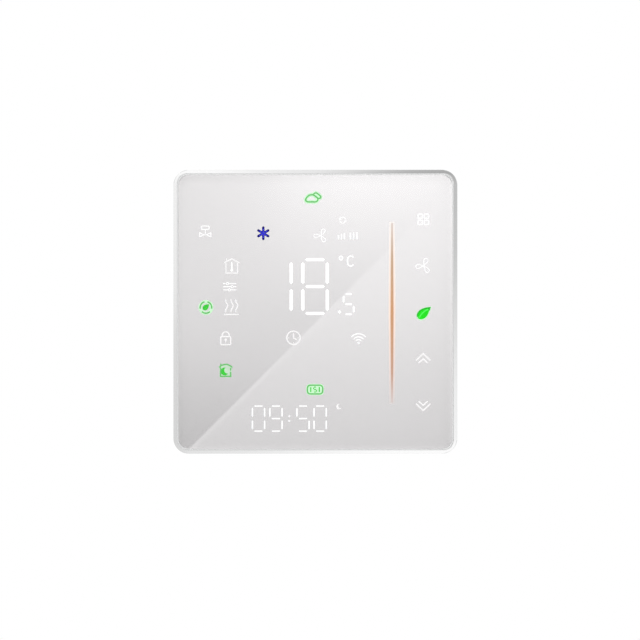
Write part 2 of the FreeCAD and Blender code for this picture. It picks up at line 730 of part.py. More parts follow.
def temperature_sensor():
    """A thermistor bead on two leads, below the board's edge and above the vent slots."""
    bead = doc.addObject("Part::Sphere", "sensor_bead")
    bind(bead, Radius="1")
    place(bead, "-27.5", f"-({BOARD_BACK} + board_thick / 2)", "-board_width / 2 - 1.6")
    leads = []
    for side in (-1, 1):
        lead = doc.addObject("Part::Cylinder", f"sensor_lead_{'left' if side < 0 else 'right'}")
        bind(lead, Radius="0.2", Height="1.6")
        place(lead, f"-27.5 + {side} * 0.5", f"-({BOARD_BACK} + board_thick / 2)", "-board_width / 2 - 1.6")
        leads.append(lead)
    keep(fuse("temperature_sensor", [bead, *leads]), "temperature_sensor")


def pin_places():
    return [f"({i} - {(PINS - 1) / 2}) * pin_pitch" for i in range(PINS)]


def plug_connector():
    """Pin header on the display board, its pins, and the socket on the power board."""
    length, row = f"{PINS} * pin_pitch", "header_place"
    header = block("header_block", length, "pin_pitch", BOARD_BACK, "header_back", "0", row)
    places = list(enumerate(pin_places(), start=1))
    slots = [
        block(f"header_slot_{i}", "pin_width", "pin_width", BOARD_BACK, "header_back", x, row)
        for i, x in places
    ]
    keep(cut("pin_header", header, slots), "pin_header")
    pins = [
        block(f"pin_{i}", "pin_width", "pin_width", BOARD_BACK, "pin_tip", x, row) for i, x in places
    ]
    keep(group("header_pins", pins), "header_pins")
    body = block("socket_block", length, "socket_width", "socket_front", "power_board_front", "0", row)
    holes = [
        block(f"socket_hole_{i}", "pin_hole", "pin_hole", "socket_front + 0.1", "pin_tip - 0.5", x, row)
        for i, x in places
    ]
    keep(cut("header_socket", body, holes), "header_socket")


# ---- base: wall tray and power box ------------------------------------------------------------


def wall_tray():
    body = new_body("wall_tray", "0")
    outline = sketch(body, "outline")
    rounded(outline, "tray_width", "tray_width", "tray_corner")
    pad(body, outline, "tray_flange")
    inside = sketch(body, "inside", "tray_flange")
    inner = "tray_width - 2 * tray_thick"
    rounded(inside, inner, inner, "tray_corner - tray_thick")
    pocket(body, inside, "tray_flange - tray_thick")
    window = sketch(body, "window")
    rounded(window, "tray_window_x", "tray_window_z", "2")
    pocket(body, window)
    screw_slots(body)
    snap_windows = sketch(body, "snap_windows", plane="XY_Plane")
    for side in (-1, 1):
        x, y = f"{side} * snap_place", "-(snap_front + snap_back) / 2"
        rectangle(snap_windows, "snap_length + 0.6", "snap_front - snap_back + 1", x, y)
    pocket(body, snap_windows)
    holes = sketch(body, "box_screw_holes")
    for x, z in corners("box_boss_x", "box_boss_z"):
        circle(holes, "box_screw_radius + 0.1", x, z)
    pocket(body, holes)
    front, rim = -value("tray_thick"), value("box_screw_radius + 0.1")

    def screw_hole_mouth(edge):
        round_edge = isinstance(edge.Curve, Part.Circle) and abs(edge.Curve.Radius - rim) < 1e-6
        return round_edge and abs(edge.Vertexes[0].Point.y - front) < 1e-6

    chamfer(body, "box_screw_head - box_screw_radius", screw_hole_mouth)


def screw_slots(body):
    """Slots for the wall screws: one pair level, one pair upright."""
    straight = "slot_length - 2 * slot_radius"
    middles = sketch(body, "slot_middles")
    ends = [sketch(body, "slot_inner_ends"), sketch(body, "slot_outer_ends")]
    for x, z, level in SLOTS:
        size = (straight, "2 * slot_radius") if level else ("2 * slot_radius", straight)
        rectangle(middles, *size, x, z)
        for drawing, side in zip(ends, (-1, 1)):
            shift = f" + {side} * ({straight}) / 2"
            circle(drawing, "slot_radius", *((x + shift, z) if level else (x, z + shift)))
    for drawing in (middles, *ends):
        pocket(body, drawing)


def octagon(drawing, inset="0", floor=None):
    """The power box's outline, moved in by inset; floor cuts its lower part off at that height."""
    side, top = f"box_width / 2 - ({inset})", f"box_height / 2 - ({inset})"
    cut_x, cut_z = f"box_corner_x - ({inset}) / 2", f"box_corner_z - ({inset}) / 3"
    upper = [(side, cut_z), (cut_x, top), (f"-({cut_x})", top), (f"-({side})", cut_z)]
    if floor is None:
        lower = [(x, f"-({z})") for x, z in reversed(upper)]
    else:
        lower = [(f"-({side})", floor), (side, floor)]
    polygon(drawing, upper + lower)


def power_box():
    body = new_body("power_box", "box_back")
    outline = sketch(body, "outline")
    octagon(outline)
    pad(body, outline, "-box_back")
    step = sketch(body, "step", "step_depth - box_back")
    height = "box_height / 2 + step_top + 1"
    rectangle(step, "box_width + 2", height, "0", f"step_top - ({height}) / 2")
    pocket(body, step, "step_depth - box_back")
    mouth = sketch(body, "mouth", "-box_back")
    octagon(mouth, "box_wall")
    pocket(body, mouth, f"-({POWER_BOARD_BACK})")
    chamber = sketch(body, "chamber", "-box_back")
    octagon(chamber, "box_wall", "step_top + box_wall")
    pocket(body, chamber, "-box_back - box_wall")
    bosses = sketch(body, "bosses", f"{POWER_BOARD_BACK} - box_back")
    for x, z in corners("box_boss_x", "box_boss_z"):
        circle(bosses, "box_boss_radius", x, z)
    pad(body, bosses, f"-({POWER_BOARD_BACK})")
    holes = sketch(body, "boss_holes", "-box_back")
    for x, z in corners("box_boss_x", "box_boss_z"):
        circle(holes, "box_screw_radius + 0.05", x, z)
    pocket(body, holes, "-box_screw_tip + 0.4")
    window = sketch(body, "terminal_window", f"{POWER_BOARD_BACK} - box_back")
    width, height = f"{TERMINALS} * terminal_pitch + part_gap", "terminal_height + part_gap"
    rectangle(window, width, height, "0", TERMINAL_MIDDLE)
    pocket(body, window, f"{POWER_BOARD_BACK} - step_depth + 1")
    slits = sketch(body, "cooling_slits", "box_wall + 0.1")
    for i in range(6):
        rectangle(slits, "18", "vent_width", "-4", f"15 - {i} * 3.2")
    pocket(body, slits, "box_wall + 0.1")


def boss_notches(body):
    notches = sketch(body, "boss_notches")
    for x, z in corners("box_boss_x", "box_boss_z"):
        circle(notches, "box_boss_radius + part_gap", x, z)
    pocket(body, notches)


def power_box_lid():
    body = new_body("power_box_lid", "lid_front - lid_thick")
    outline = sketch(body, "outline")
    octagon(outline, "box_wall + part_gap")
    pad(body, outline, "lid_thick")
    boss_notches(body)
    slot = sketch(body, "socket_slot")
    rectangle(slot, f"{PINS} * pin_pitch + 0.6", "socket_width + 0.6", "0", "header_place")
    pocket(body, slot)


def power_board():
    body = new_body("power_board", POWER_BOARD_BACK)
    outline = sketch(body, "outline")
    octagon(outline, "box_wall + part_gap")
    pad(body, outline, "power_board_thick")
    boss_notches(body)


def tray_screws():
    """Countersunk screws from the tray's front into the power box's bosses."""
    screws = []
    neck = "tray_thick - (box_screw_head - box_screw_radius)"
    for i, (x, z) in enumerate(corners("box_boss_x", "box_boss_z"), start=1):
        name = f"tray_screw_{i}"
        head = cone(f"{name}_head", "box_screw_head", "box_screw_radius", "tray_thick", neck, x, z)
        shank = rod(f"{name}_shank", "box_screw_radius", neck, "box_screw_tip", x, z)
        cross = [
            block(f"{name}_level", "2.2", "0.6", "tray_thick + 0.1", "tray_thick - 0.7", x, z),
            block(f"{name}_upright", "0.6", "2.2", "tray_thick + 0.1", "tray_thick - 0.7", x, z),
        ]
        screws.append(cut(name, fuse(f"{name}_solid", [head, shank]), cross))
    keep(group("tray_screws", screws), "tray_screws")


# ---- base: terminals --------------------------------------------------------------------------


def terminal_places():
    return [f"({i} - {(TERMINALS - 1) / 2}) * terminal_pitch" for i in range(TERMINALS)]


def terminal_block():
    body = new_body("terminal_block", "terminal_back")
    outline = sketch(body, "outline")
    rectangle(outline, f"{TERMINALS} * terminal_pitch", "terminal_height", "0", TERMINAL_MIDDLE)
    pad(body, outline, f"{POWER_BOARD_BACK} - terminal_back")
    chambers = sketch(body, "chambers", "cell_front - terminal_back")
    necks = sketch(body, "necks", "cell_back - terminal_back")
    heads = sketch(body, "head_holes", "clamp_shoulder - terminal_back")
    legs = sketch(body, "leg_slots", f"{POWER_BOARD_BACK} - terminal_back")
    for x in terminal_places():
        rectangle(chambers, "cell_width", "cell_height", x, TERMINAL_MIDDLE)
        circle(necks, "clamp_screw_radius + 0.1", x, "cage_place")
        circle(heads, "clamp_hole", x, "cage_place")
        rectangle(legs, "bar_width + 0.1", "bar_thick + 0.1", x, LEG_PLACE)
    pocket(body, chambers, "cell_front - cell_back")
    pocket(body, necks, "cell_back - clamp_shoulder")
    pocket(body, heads, "clamp_shoulder - terminal_back")
    pocket(body, legs, f"{POWER_BOARD_BACK} - cell_front")
    floor = f"{TERMINAL_MIDDLE} - cell_height / 2"
    entries = sketch(body, "wire_entries", floor, plane="XY_Plane")
    for x in terminal_places():
        y = "terminal_back - (entry_front + entry_back) / 2"
        rectangle(entries, "entry_width", "entry_front - entry_back", x, y)
    pocket(body, entries, "terminal_wall")


def contact_bars():
    """Fixed bars that the wires are clamped against, each on a leg down to the power board."""
    bars = []
    low, high = f"{TERMINAL_MIDDLE} - cell_height / 2 + 0.3", f"{LEG_PLACE} + bar_thick / 2"
    length, middle = f"{high} - ({low})", f"({high} + {low}) / 2"
    back = "entry_back - bar_thick"
    for i, x in enumerate(terminal_places(), start=1):
        strip = block(f"bar_{i}_strip", "bar_width", length, "entry_back", back, x, middle)
        leg = block(f"bar_{i}_leg", "bar_width", "bar_thick", POWER_BOARD_BACK, "entry_back", x, LEG_PLACE)
        bars.append(fuse(f"bar_{i}", [strip, leg]))
    keep(group("contact_bars", bars), "contact_bars")


def clamp_cage(number, x):
    """A clamp that rises towards the screw's head: a ring with a threaded outer wall."""
    name, z = f"clamp_cage_{number}", "cage_place"
    outer = block(f"{name}_outer", "cage_width", "cage_height", "cage_front", "cage_back", x, z)
    front, back = "cage_front - cage_wall", "cage_back + cage_wall"
    width = "cage_width - 2 * cage_side"
    window = block(f"{name}_window", width, "cage_height + 1", front, back, x, z)
    bore = "clamp_screw_radius + 0.05"
    thread = rod(f"{name}_thread", bore, "cage_back + 2 * cage_wall", "cage_back - 1", x, z)
    keep(cut(name, outer, [window, thread]), name)


def clamp_screw(number, x):
    """A slotted screw held by the block's shoulder; only its turning moves the cage."""
    name, z, under = f"clamp_screw_{number}", "cage_place", "clamp_shoulder - 0.05"
    shank = rod(f"{name}_shank", "clamp_screw_radius", "clamp_screw_tip", under, x, z)
    head = rod(f"{name}_head", "clamp_screw_head", under, "clamp_head_back", x, z)
    length, deep = "2 * clamp_screw_head + 1", "clamp_head_back + 0.9"
    slot = block(f"{name}_slot", length, "0.6", deep, "clamp_head_back - 0.1", x, z)
    keep(cut(name, fuse(f"{name}_solid", [shank, head]), [slot]), name)


# ---- base: power board parts ------------------------------------------------------------------


def relay(number):
    x = f"relay_first + {number - 1} * relay_pitch"
    body = new_body(f"relay_{number}", f"{POWER_BOARD_BACK} - relay_depth")
    outline = sketch(body, "outline")
    rectangle(outline, "relay_width", "relay_height", x, "relay_middle")
    pad(body, outline, "relay_depth")
    fillet(body, "0.5", runs_into_wall)


def supply_parts():
    """Transformer, smoothing capacitor, surge varistor and fuse beside the relays."""
    top = POWER_BOARD_BACK
    core = cut(
        "transformer_core_solid",
        block("core_outer", "6.4", "9", top, f"{top} - 10", "19.6", "4.6"),
        [block("core_window", "9", "5.8", f"{top} - 1.6", f"{top} - 8.4", "19.6", "4.6")],
    )
    keep(core, "transformer_core")
    coil = block("transformer_coil", "8.6", "5.8", f"{top} - 1.6", f"{top} - 8.4", "19.6", "4.6")
    keep(coil, "transformer_coil")
    keep(rod("smoothing_capacitor", "3.15", top, f"{top} - 11", "17.9", "15.6"), "smoothing_capacitor")
    disc = doc.addObject("Part::Cylinder", "varistor_disc")
    disc.Placement.Rotation = SIDEWAYS
    bind(disc, Radius="3.4", Height="3.4")
    place(disc, "15.3", f"-({top} - 3.9)", "-4.2")
    feet = [
        block(f"varistor_foot_{i}", "0.6", "0.6", top, f"{top} - 2", x, "-4.2")
        for i, x in ((1, "16"), (2, "18"))
    ]
    keep(fuse("surge_varistor", [disc, *feet]), "surge_varistor")
    keep(block("fuse", "3.8", "6.4", top, f"{top} - 6.6", "21.4", "-4.2"), "fuse")


def check_and_write():
    doc.recompute()
    for thing in doc.Objects:
        if "Invalid" in thing.State or "Error" in thing.State:
            raise RuntimeError(f"{thing.Name} failed: {thing.State}")
    os.makedirs("parts", exist_ok=True)
    for thing in subparts:
        shape = thing.Shape
        if shape.isNull() or not shape.isValid() or not shape.Solids:
            raise RuntimeError(f"{thing.Label} has no valid solid")
        shape.exportStep(os.path.join("parts", f"{thing.Label}.step"))
        print(f"{thing.Label:22s} {len(shape.Solids):3d} solids {shape.Volume:10.1f} mm3")


def main():
    fill_sheet()
    front_glass()
    sheet_part("mask_film", GLASS_WIDTH, FILM_FRONT, "film_thick", "glass_corner")
    glass_tape()
    front_frame()
    sheet_part("diffuser_sheet", "diffuser_width", DIFFUSER_FRONT, "diffuser_thick", "ledge_corner + 0.5")
    light_box()
    display_board()
    display_leds()
    touch_springs()
    board_parts()
    temperature_sensor()
    plug_connector()
    rear_cover()
    cover_screws()
    wall_tray()
    power_box()
    power_box_lid()
    power_board()
    tray_screws()
    terminal_block()
    contact_bars()
    for number, x in enumerate(terminal_places(), start=1):
        clamp_cage(number, x)
        clamp_screw(number, x)
    for number in range(1, RELAYS + 1):
        relay(number)
    supply_parts()
    check_and_write()


main()
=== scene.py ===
"""Looks of the touch-screen wall thermostat: finishes for the CAD nodes, the glass, and the lit
figures and symbols that show through it.

Everything is in metres in the row's frame: X right, Y into the wall, Z up. Places on the face are
given in millimetres from its centre, and depths in millimetres in front of the wall.
"""

import json
import math

import bmesh
import bpy
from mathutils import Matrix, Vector


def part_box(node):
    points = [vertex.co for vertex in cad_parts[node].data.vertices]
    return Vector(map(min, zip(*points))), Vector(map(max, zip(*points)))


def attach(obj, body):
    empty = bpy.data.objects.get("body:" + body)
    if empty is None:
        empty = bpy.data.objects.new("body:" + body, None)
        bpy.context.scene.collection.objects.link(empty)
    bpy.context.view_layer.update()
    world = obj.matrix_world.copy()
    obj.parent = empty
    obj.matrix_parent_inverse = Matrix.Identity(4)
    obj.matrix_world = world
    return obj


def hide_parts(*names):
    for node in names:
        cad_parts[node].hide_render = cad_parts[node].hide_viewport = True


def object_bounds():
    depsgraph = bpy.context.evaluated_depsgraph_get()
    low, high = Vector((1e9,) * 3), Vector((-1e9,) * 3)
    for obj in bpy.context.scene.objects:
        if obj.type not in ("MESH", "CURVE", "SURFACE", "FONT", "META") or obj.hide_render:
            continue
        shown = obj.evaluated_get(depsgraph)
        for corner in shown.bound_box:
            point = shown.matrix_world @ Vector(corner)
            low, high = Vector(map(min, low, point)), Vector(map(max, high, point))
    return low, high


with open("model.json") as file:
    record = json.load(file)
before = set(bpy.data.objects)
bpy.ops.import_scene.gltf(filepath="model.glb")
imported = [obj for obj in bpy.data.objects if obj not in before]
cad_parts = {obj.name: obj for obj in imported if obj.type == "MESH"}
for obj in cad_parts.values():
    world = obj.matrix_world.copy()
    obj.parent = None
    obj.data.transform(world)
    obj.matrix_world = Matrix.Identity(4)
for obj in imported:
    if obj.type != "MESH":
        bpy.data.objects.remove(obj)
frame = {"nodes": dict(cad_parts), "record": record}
cad_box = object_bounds()

MM = 0.001
FRONT_UNIT = "front_unit"
NODES = frame["nodes"]
MIRRORED = 1.465  # a place on the front board is this much further out than where the face mirrors it
PAINT_REACH = 42.2 * MM  # the frame is bare within this of its middle, and behind PAINT_DEPTH
PAINT_DEPTH = -10.95 * MM
SQUARE = ((-1, -1), (1, -1), (1, 1), (-1, 1))


# ---- materials --------------------------------------------------------------------------------


class Look:
    """A material being made: node() adds a node, and most other calls add common groups of them."""

    def __init__(self, name):
        self.material = bpy.data.materials.new(name)
        self.material.use_nodes = True
        self.tree = self.material.node_tree
        self.shader = self.tree.nodes["Principled BSDF"]
        self.output = self.tree.nodes["Material Output"]
        self.place = self.node("ShaderNodeTexCoord").outputs["Object"]

    def node(self, kind, inputs=None, **settings):
        made = self.tree.nodes.new(kind)
        for key, setting in settings.items():
            setattr(made, key, setting)
        for socket, given in (inputs or {}).items():
            self.feed(made.inputs[socket], given)
        return made

    def feed(self, socket, given):
        if isinstance(given, bpy.types.NodeSocket):
            self.tree.links.new(given, socket)
        else:
            socket.default_value = given

    def set(self, **inputs):
        for name, given in inputs.items():
            self.feed(self.shader.inputs[name.replace("_", " ")], given)

    def stretched(self, x, y, z):
        mapping = self.node("ShaderNodeMapping", {"Vector": self.place, "Scale": (x, y, z)})
        return mapping.outputs["Vector"]

    def noise(self, scale, detail=3.0, place=None):
        inputs = {"Vector": place or self.place, "Scale": scale, "Detail": detail}
        return self.node("ShaderNodeTexNoise", inputs).outputs["Fac"]

    def cells(self, scale, output="Distance", **settings):
        inputs = {"Vector": self.place, "Scale": scale}
        return self.node("ShaderNodeTexVoronoi", inputs, **settings).outputs[output]

    def spread(self, fac, low, high, start=0.35, end=0.65):
        """A number that goes from low to high as fac goes from start to end."""
        inputs = {"Value": fac, "From Min": start, "From Max": end, "To Min": low, "To Max": high}
        return self.node("ShaderNodeMapRange", inputs).outputs["Result"]

    def blend(self, fac, first, second):
        mix = self.node("ShaderNodeMix", data_type="RGBA")
        for socket, given in ((0, fac), (6, first), (7, second)):
            self.feed(mix.inputs[socket], given)
        return mix.outputs[2]

    def bump(self, height, distance, strength=0.5):
        inputs = {"Height": height, "Distance": distance, "Strength": strength}
        return self.node("ShaderNodeBump", inputs).outputs["Normal"]

    def joined(self, operation, first, second):
        """What a Math node makes of two numbers."""
        return self.node("ShaderNodeMath", {0: first, 1: second}, operation=operation).outputs[0]

    def along(self, axis):
        """A point's own coordinate on one axis."""
        return self.node("ShaderNodeSeparateXYZ", {"Vector": self.place}).outputs[axis]

    def reach_from_middle(self, axes=(0, 2)):
        """How far out a point is along the further of two axes."""
        return self.joined("MAXIMUM", *(self.joined("ABSOLUTE", self.along(axis), 0.0) for axis in axes))

    def replace_shader(self, surface):
        """Gives the material another surface than the principled shader's."""
        self.tree.nodes.remove(self.shader)
        self.feed(self.output.inputs["Surface"], surface)


def shade(colour, factor):
    return (*(min(1.0, c * factor) for c in colour), 1.0)


def moulded(name, colour, rough=0.45, grain=2600.0, depth=0.02, specular=0.5):
    """Moulded plastic with a fine spark-eroded grain and a slight cloudiness."""
    look = Look(name)
    clouds = look.spread(look.noise(70.0, 4.0), 0.0, 1.0)
    fine = look.noise(grain, 2.0)
    look.set(Base_Color=look.blend(clouds, shade(colour, 0.95), shade(colour, 1.04)))
    look.set(Roughness=look.spread(look.noise(500.0), rough - 0.06, rough + 0.08))
    look.set(Normal=look.bump(fine, depth * MM, 0.45), Specular_IOR_Level=specular)
    return look.material


def pearl_print(name, colour, half):
    """Mirror-smooth pearl print; a painted glow (emission) brightens its border, standing in for light that
    the glass pipes to its edges where the frame's rim shades it.
    """
    look = Look(name)
    speckle = look.spread(look.cells(6000.0), 0.0, 1.0, 0.1, 0.6)
    look.set(Base_Color=look.blend(speckle, shade(colour, 1.02), shade(colour, 0.98)))
    look.set(Metallic=0.6, Roughness=look.spread(look.noise(40.0, 2.0), 0.008, 0.014))
    # Painted light: an emission that grows towards the print's border and lifts the shade that the rim
    # casts there.
    border, falloff, painted_edge_glow = 2.4 * MM, 2.6, 0.07
    near = look.spread(look.reach_from_middle(), 0.0, 1.0, half - border, half - 0.1 * MM)
    strength = look.joined("MULTIPLY", look.joined("POWER", near, falloff), painted_edge_glow)
    look.set(Emission_Color=(1, 1, 1, 1), Emission_Strength=strength)
    return look.material


def painted_moulding(name, colour, inner_colour):
    """Silver paint on the outside of the frame; the moulding's own plastic shows inside it."""
    look = Look(name)
    within = look.joined("LESS_THAN", look.reach_from_middle(), PAINT_REACH)
    bare = look.joined("MULTIPLY", within, look.joined("GREATER_THAN", look.along("Y"), PAINT_DEPTH))
    speckle = look.spread(look.cells(9000.0), 0.0, 1.0, 0.1, 0.6)
    paint = look.blend(speckle, shade(colour, 1.05), shade(colour, 0.95))
    clouds = look.spread(look.noise(70.0, 4.0), 0.0, 1.0)
    plastic = look.blend(clouds, shade(inner_colour, 0.95), shade(inner_colour, 1.05))
    look.set(Base_Color=look.blend(bare, paint, plastic))
    look.set(Metallic=look.spread(bare, 0.75, 0.0, 0.0, 1.0))
    painted_rough = look.spread(look.noise(260.0, 4.0), 0.10, 0.14)
    bare_rough = look.joined("MULTIPLY", bare, 0.35)
    look.set(Roughness=look.joined("ADD", painted_rough, bare_rough))
    look.set(Normal=look.bump(look.noise(1500.0, 2.0), 0.002 * MM, 0.25))
    return look.material


def plated_sheet(name, colour, rough=0.46):
    """Zinc-plated sheet steel: a faint spangle, drawn scratches and dulled patches."""
    look = Look(name)
    spangle = look.cells(330.0, output="Color")
    drawn = look.noise(900.0, 3.0, look.stretched(0.04, 1.0, 1.0))
    patches = look.noise(45.0, 5.0)
    tone = look.node("ShaderNodeSeparateColor", {"Color": spangle}).outputs["Red"]
    crystals = look.blend(look.spread(tone, 0.0, 0.7, 0.0, 1.0), shade(colour, 0.9), shade(colour, 1.08))
    look.set(Base_Color=look.blend(look.spread(patches, 0.0, 0.5), crystals, shade(colour, 0.82)))
    look.set(Metallic=1.0, Roughness=look.spread(drawn, rough - 0.08, rough + 0.12))
    look.set(Normal=look.bump(drawn, 0.006 * MM, 0.35))
    return look.material


def turned_metal(name, colour, rough=0.28):
    """Plated small parts: fine turning marks and slightly tarnished patches."""
    look = Look(name)
    marks = look.noise(2400.0, 2.0, look.stretched(1.0, 0.08, 1.0))
    tarnish = look.spread(look.noise(420.0, 4.0), 0.0, 0.6)
    look.set(Base_Color=look.blend(tarnish, shade(colour, 1.0), shade(colour, 0.72)))
    look.set(Metallic=1.0, Roughness=look.spread(marks, rough - 0.08, rough + 0.1))
    look.set(Normal=look.bump(marks, 0.004 * MM, 0.4))
    return look.material


def circuit_board(name, colour):
    """Solder mask over copper tracks, whose edges stand up a little."""
    look = Look(name)
    tracks = look.spread(look.cells(420.0, distance="MANHATTAN"), 0.0, 1.0, 0.46, 0.5)
    weave = look.noise(1800.0, 2.0)
    base = look.blend(look.spread(weave, 0.0, 1.0), shade(colour, 0.85), shade(colour, 1.1))
    look.set(Base_Color=look.blend(tracks, base, shade(colour, 1.75)), Roughness=0.28)
    look.set(Normal=look.bump(tracks, 0.02 * MM, 0.6), Coat_Weight=0.4, Coat_Roughness=0.2)
    return look.material


def glossy_skin(name, colour, rough=0.18, wave=900.0):
    """Dipped or shrunk plastic: glossy, with an uneven skin."""
    look = Look(name)
    skin = look.noise(wave, 3.0)
    clouds = look.spread(look.noise(200.0), 0.0, 1.0)
    look.set(Base_Color=look.blend(clouds, shade(colour, 0.9), shade(colour, 1.1)))
    look.set(Roughness=look.spread(skin, rough - 0.05, rough + 0.1))
    look.set(Normal=look.bump(skin, 0.015 * MM, 0.4))
    return look.material


def wound_tape(name, colour):
    """Turns of adhesive tape round a coil, with a darker seam at each turn's edge."""
    look = Look(name)
    bands = look.node(
        "ShaderNodeTexWave",
        {"Vector": look.place, "Scale": 300.0, "Distortion": 0.6, "Detail": 1.0},
        bands_direction="X",
    ).outputs["Fac"]
    seam = look.spread(bands, 0.0, 1.0, 0.0, 0.16)
    look.set(Base_Color=look.blend(seam, shade(colour, 0.6), shade(colour, 1.0)), Roughness=0.3)
    look.set(Normal=look.bump(bands, 0.02 * MM, 0.4))
    return look.material


def foam(name, colour):
    """Closed-cell foam: pores that are darker at their middles."""
    look = Look(name)
    pores = look.cells(5200.0)
    tone = look.spread(pores, 0.0, 1.0, 0.1, 0.6)
    look.set(Base_Color=look.blend(tone, shade(colour, 0.5), shade(colour, 1.3)))
    look.set(Roughness=0.9, Normal=look.bump(pores, 0.03 * MM, 0.6))
    return look.material


def clear_glass(name, head_on, frost=0.0):
    """Coated cover glass: clear, with a gloss that grows from head_on to all at glancing angles.

    frost is the share of a milky surface that lies over it, with a faint painted glow (emission) standing
    in for light that the glass pipes to its ground edge.
    """
    look = Look(name)
    clear = look.node("ShaderNodeBsdfTransparent", {"Color": (0.998, 0.998, 0.998, 1.0)})
    ripple = look.bump(look.noise(30.0, 1.0), 0.0004 * MM, 0.1)
    polished = {"Color": (1, 1, 1, 1), "Roughness": 0.01, "Normal": ripple}
    gloss = look.node("ShaderNodeBsdfGlossy", polished)
    facing = look.node("ShaderNodeLayerWeight", {"Blend": 0.5}).outputs["Facing"]
    share = look.spread(look.joined("POWER", facing, 5.0), head_on, 1.0, 0.0, 1.0)
    mix = look.node("ShaderNodeMixShader", {0: share, 1: clear.outputs[0], 2: gloss.outputs[0]})
    surface = mix.outputs[0]
    if frost:
        ground = look.noise(4000.0, 2.0)
        milk_with_painted_glow = {
            "Base Color": look.blend(ground, (0.86, 0.87, 0.87, 1.0), (0.96, 0.97, 0.97, 1.0)),
            "Roughness": 0.35,
            "Normal": look.bump(ground, 0.01 * MM, 0.4),
            # Painted light: the milky edge glows faintly though it is no lamp.
            "Emission Color": (1.0, 1.0, 1.0, 1.0),
            "Emission Strength": 0.06,
        }
        matt = look.node("ShaderNodeBsdfPrincipled", milk_with_painted_glow)
        milky = look.node("ShaderNodeMixShader", {0: frost, 1: surface, 2: matt.outputs[0]})
        surface = milky.outputs[0]
    look.replace_shader(surface)
    return look.material


def lit(name, colour, uneven=0.08):
    """A translucent window in the print with a lamp behind it: about half of what is seen is its light."""
    look = Look(name)
    patch = look.spread(look.noise(700.0, 1.0), 0.0, 1.0)
    own, lamp = 0.5, 0.62
    look.set(Base_Color=look.blend(patch, shade(colour, own), shade(colour, own * (1 - uneven))))
    look.set(Emission_Color=look.blend(patch, shade(colour, 1.0), shade(colour, 1 - uneven)))
    look.set(Emission_Strength=lamp, Roughness=0.5, Specular_IOR_Level=0.05)
    return look.material


def lit_upright(name, half, stops, lamp):
    """A lit window whose colour changes from its foot to its head, by (share of its height, colour)."""
    look = Look(name)
    rise = look.spread(look.along("Z"), 0.0, 1.0, -half * MM, half * MM)
    ramp = look.node("ShaderNodeValToRGB", {"Fac": rise})
    while len(ramp.color_ramp.elements) < len(stops):
        ramp.color_ramp.elements.new(0.5)
    for element, (position, colour) in zip(ramp.color_ramp.elements, stops):
        element.position = position
        element.color = (*colour, 1.0)
    colour = ramp.outputs["Color"]
    drawn = look.noise(1600.0, 2.0, look.stretched(1.0, 1.0, 0.1))
    grey = (0.5, 0.5, 0.5)
    own = look.blend(look.spread(drawn, 0.0, 1.0), shade(grey, 1.0), shade(grey, 0.94))
    tinted = look.node("ShaderNodeMix", data_type="RGBA", blend_type="MULTIPLY")
    for socket, given in ((0, 1.0), (6, colour), (7, own)):
        look.feed(tinted.inputs[socket], given)
    look.set(Base_Color=tinted.outputs[2], Roughness=look.spread(drawn, 0.3, 0.45))
    look.set(Emission_Color=colour, Emission_Strength=lamp, Specular_IOR_Level=0.1)
    return look.material


def half_width(node):
    low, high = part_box(node)
    return (high.x - low.x) / 2


FINISHES = {
    "mask_print": pearl_print("pearl_print", (0.768, 0.753, 0.758), half_width("mask_film")),
    "adhesive": foam("foam_tape", (0.05, 0.05, 0.05)),
    "frame_plastic": painted_moulding("silver_paint", (0.80, 0.80, 0.80), (0.62, 0.62, 0.61)),
    "diffuser_plastic": moulded("diffuser_sheet_plastic", (0.88, 0.88, 0.88), 0.6, 3000.0, 0.01),
    "light_box_plastic": moulded("light_box_plastic", (0.84, 0.84, 0.82), 0.5),
    "circuit_board": circuit_board("green_board", (0.02, 0.16, 0.07)),
    "led_chip": glossy_skin("led_resin", (0.86, 0.82, 0.50), 0.15),
    "spring_steel": turned_metal("spring_wire", (0.75, 0.76, 0.77), 0.22),
    "chip_plastic": moulded("chip_mould", (0.03, 0.03, 0.033), 0.5, 2400.0, 0.012),
    "tinned_steel": plated_sheet("tinned_sheet", (0.66, 0.67, 0.68), 0.25),
    "sensor_epoxy": glossy_skin("sensor_bead", (0.02, 0.02, 0.025), 0.12),
    "connector_plastic": moulded("connector_mould", (0.02, 0.02, 0.02), 0.42),
    "pin_metal": turned_metal("gold_flash", (0.90, 0.66, 0.26), 0.2),
    "cover_plastic": moulded("cover_mould", (0.72, 0.72, 0.71), 0.5, 1800.0, 0.03),
    "screw_steel": turned_metal("zinc_screw", (0.58, 0.58, 0.57), 0.3),
    "tray_steel": plated_sheet("zinc_sheet", (0.58, 0.60, 0.62)),
    "box_plastic": moulded("box_mould", (0.70, 0.70, 0.69), 0.5, 1600.0, 0.035),
    "terminal_plastic": moulded("terminal_mould", (0.02, 0.20, 0.07), 0.42, 2200.0, 0.02),
    "clamp_steel": turned_metal("nickel_clamp", (0.66, 0.65, 0.62), 0.26),
    "bar_metal": turned_metal("tinned_brass", (0.78, 0.66, 0.42), 0.3),
    "relay_plastic": moulded("relay_mould", (0.015, 0.06, 0.24), 0.28, 2400.0, 0.01),
    "ferrite": moulded("pressed_ferrite", (0.035, 0.035, 0.04), 0.6, 1500.0, 0.05),
    "coil_tape": wound_tape("coil_tape", (0.78, 0.52, 0.04)),
    "capacitor_sleeve": glossy_skin("capacitor_sleeve", (0.02, 0.02, 0.05)),
    "varistor_lacquer": glossy_skin("varistor_lacquer", (0.02, 0.07, 0.36), 0.25, 600.0),
    "fuse_plastic": glossy_skin("fuse_mould", (0.06, 0.02, 0.01), 0.22),
}

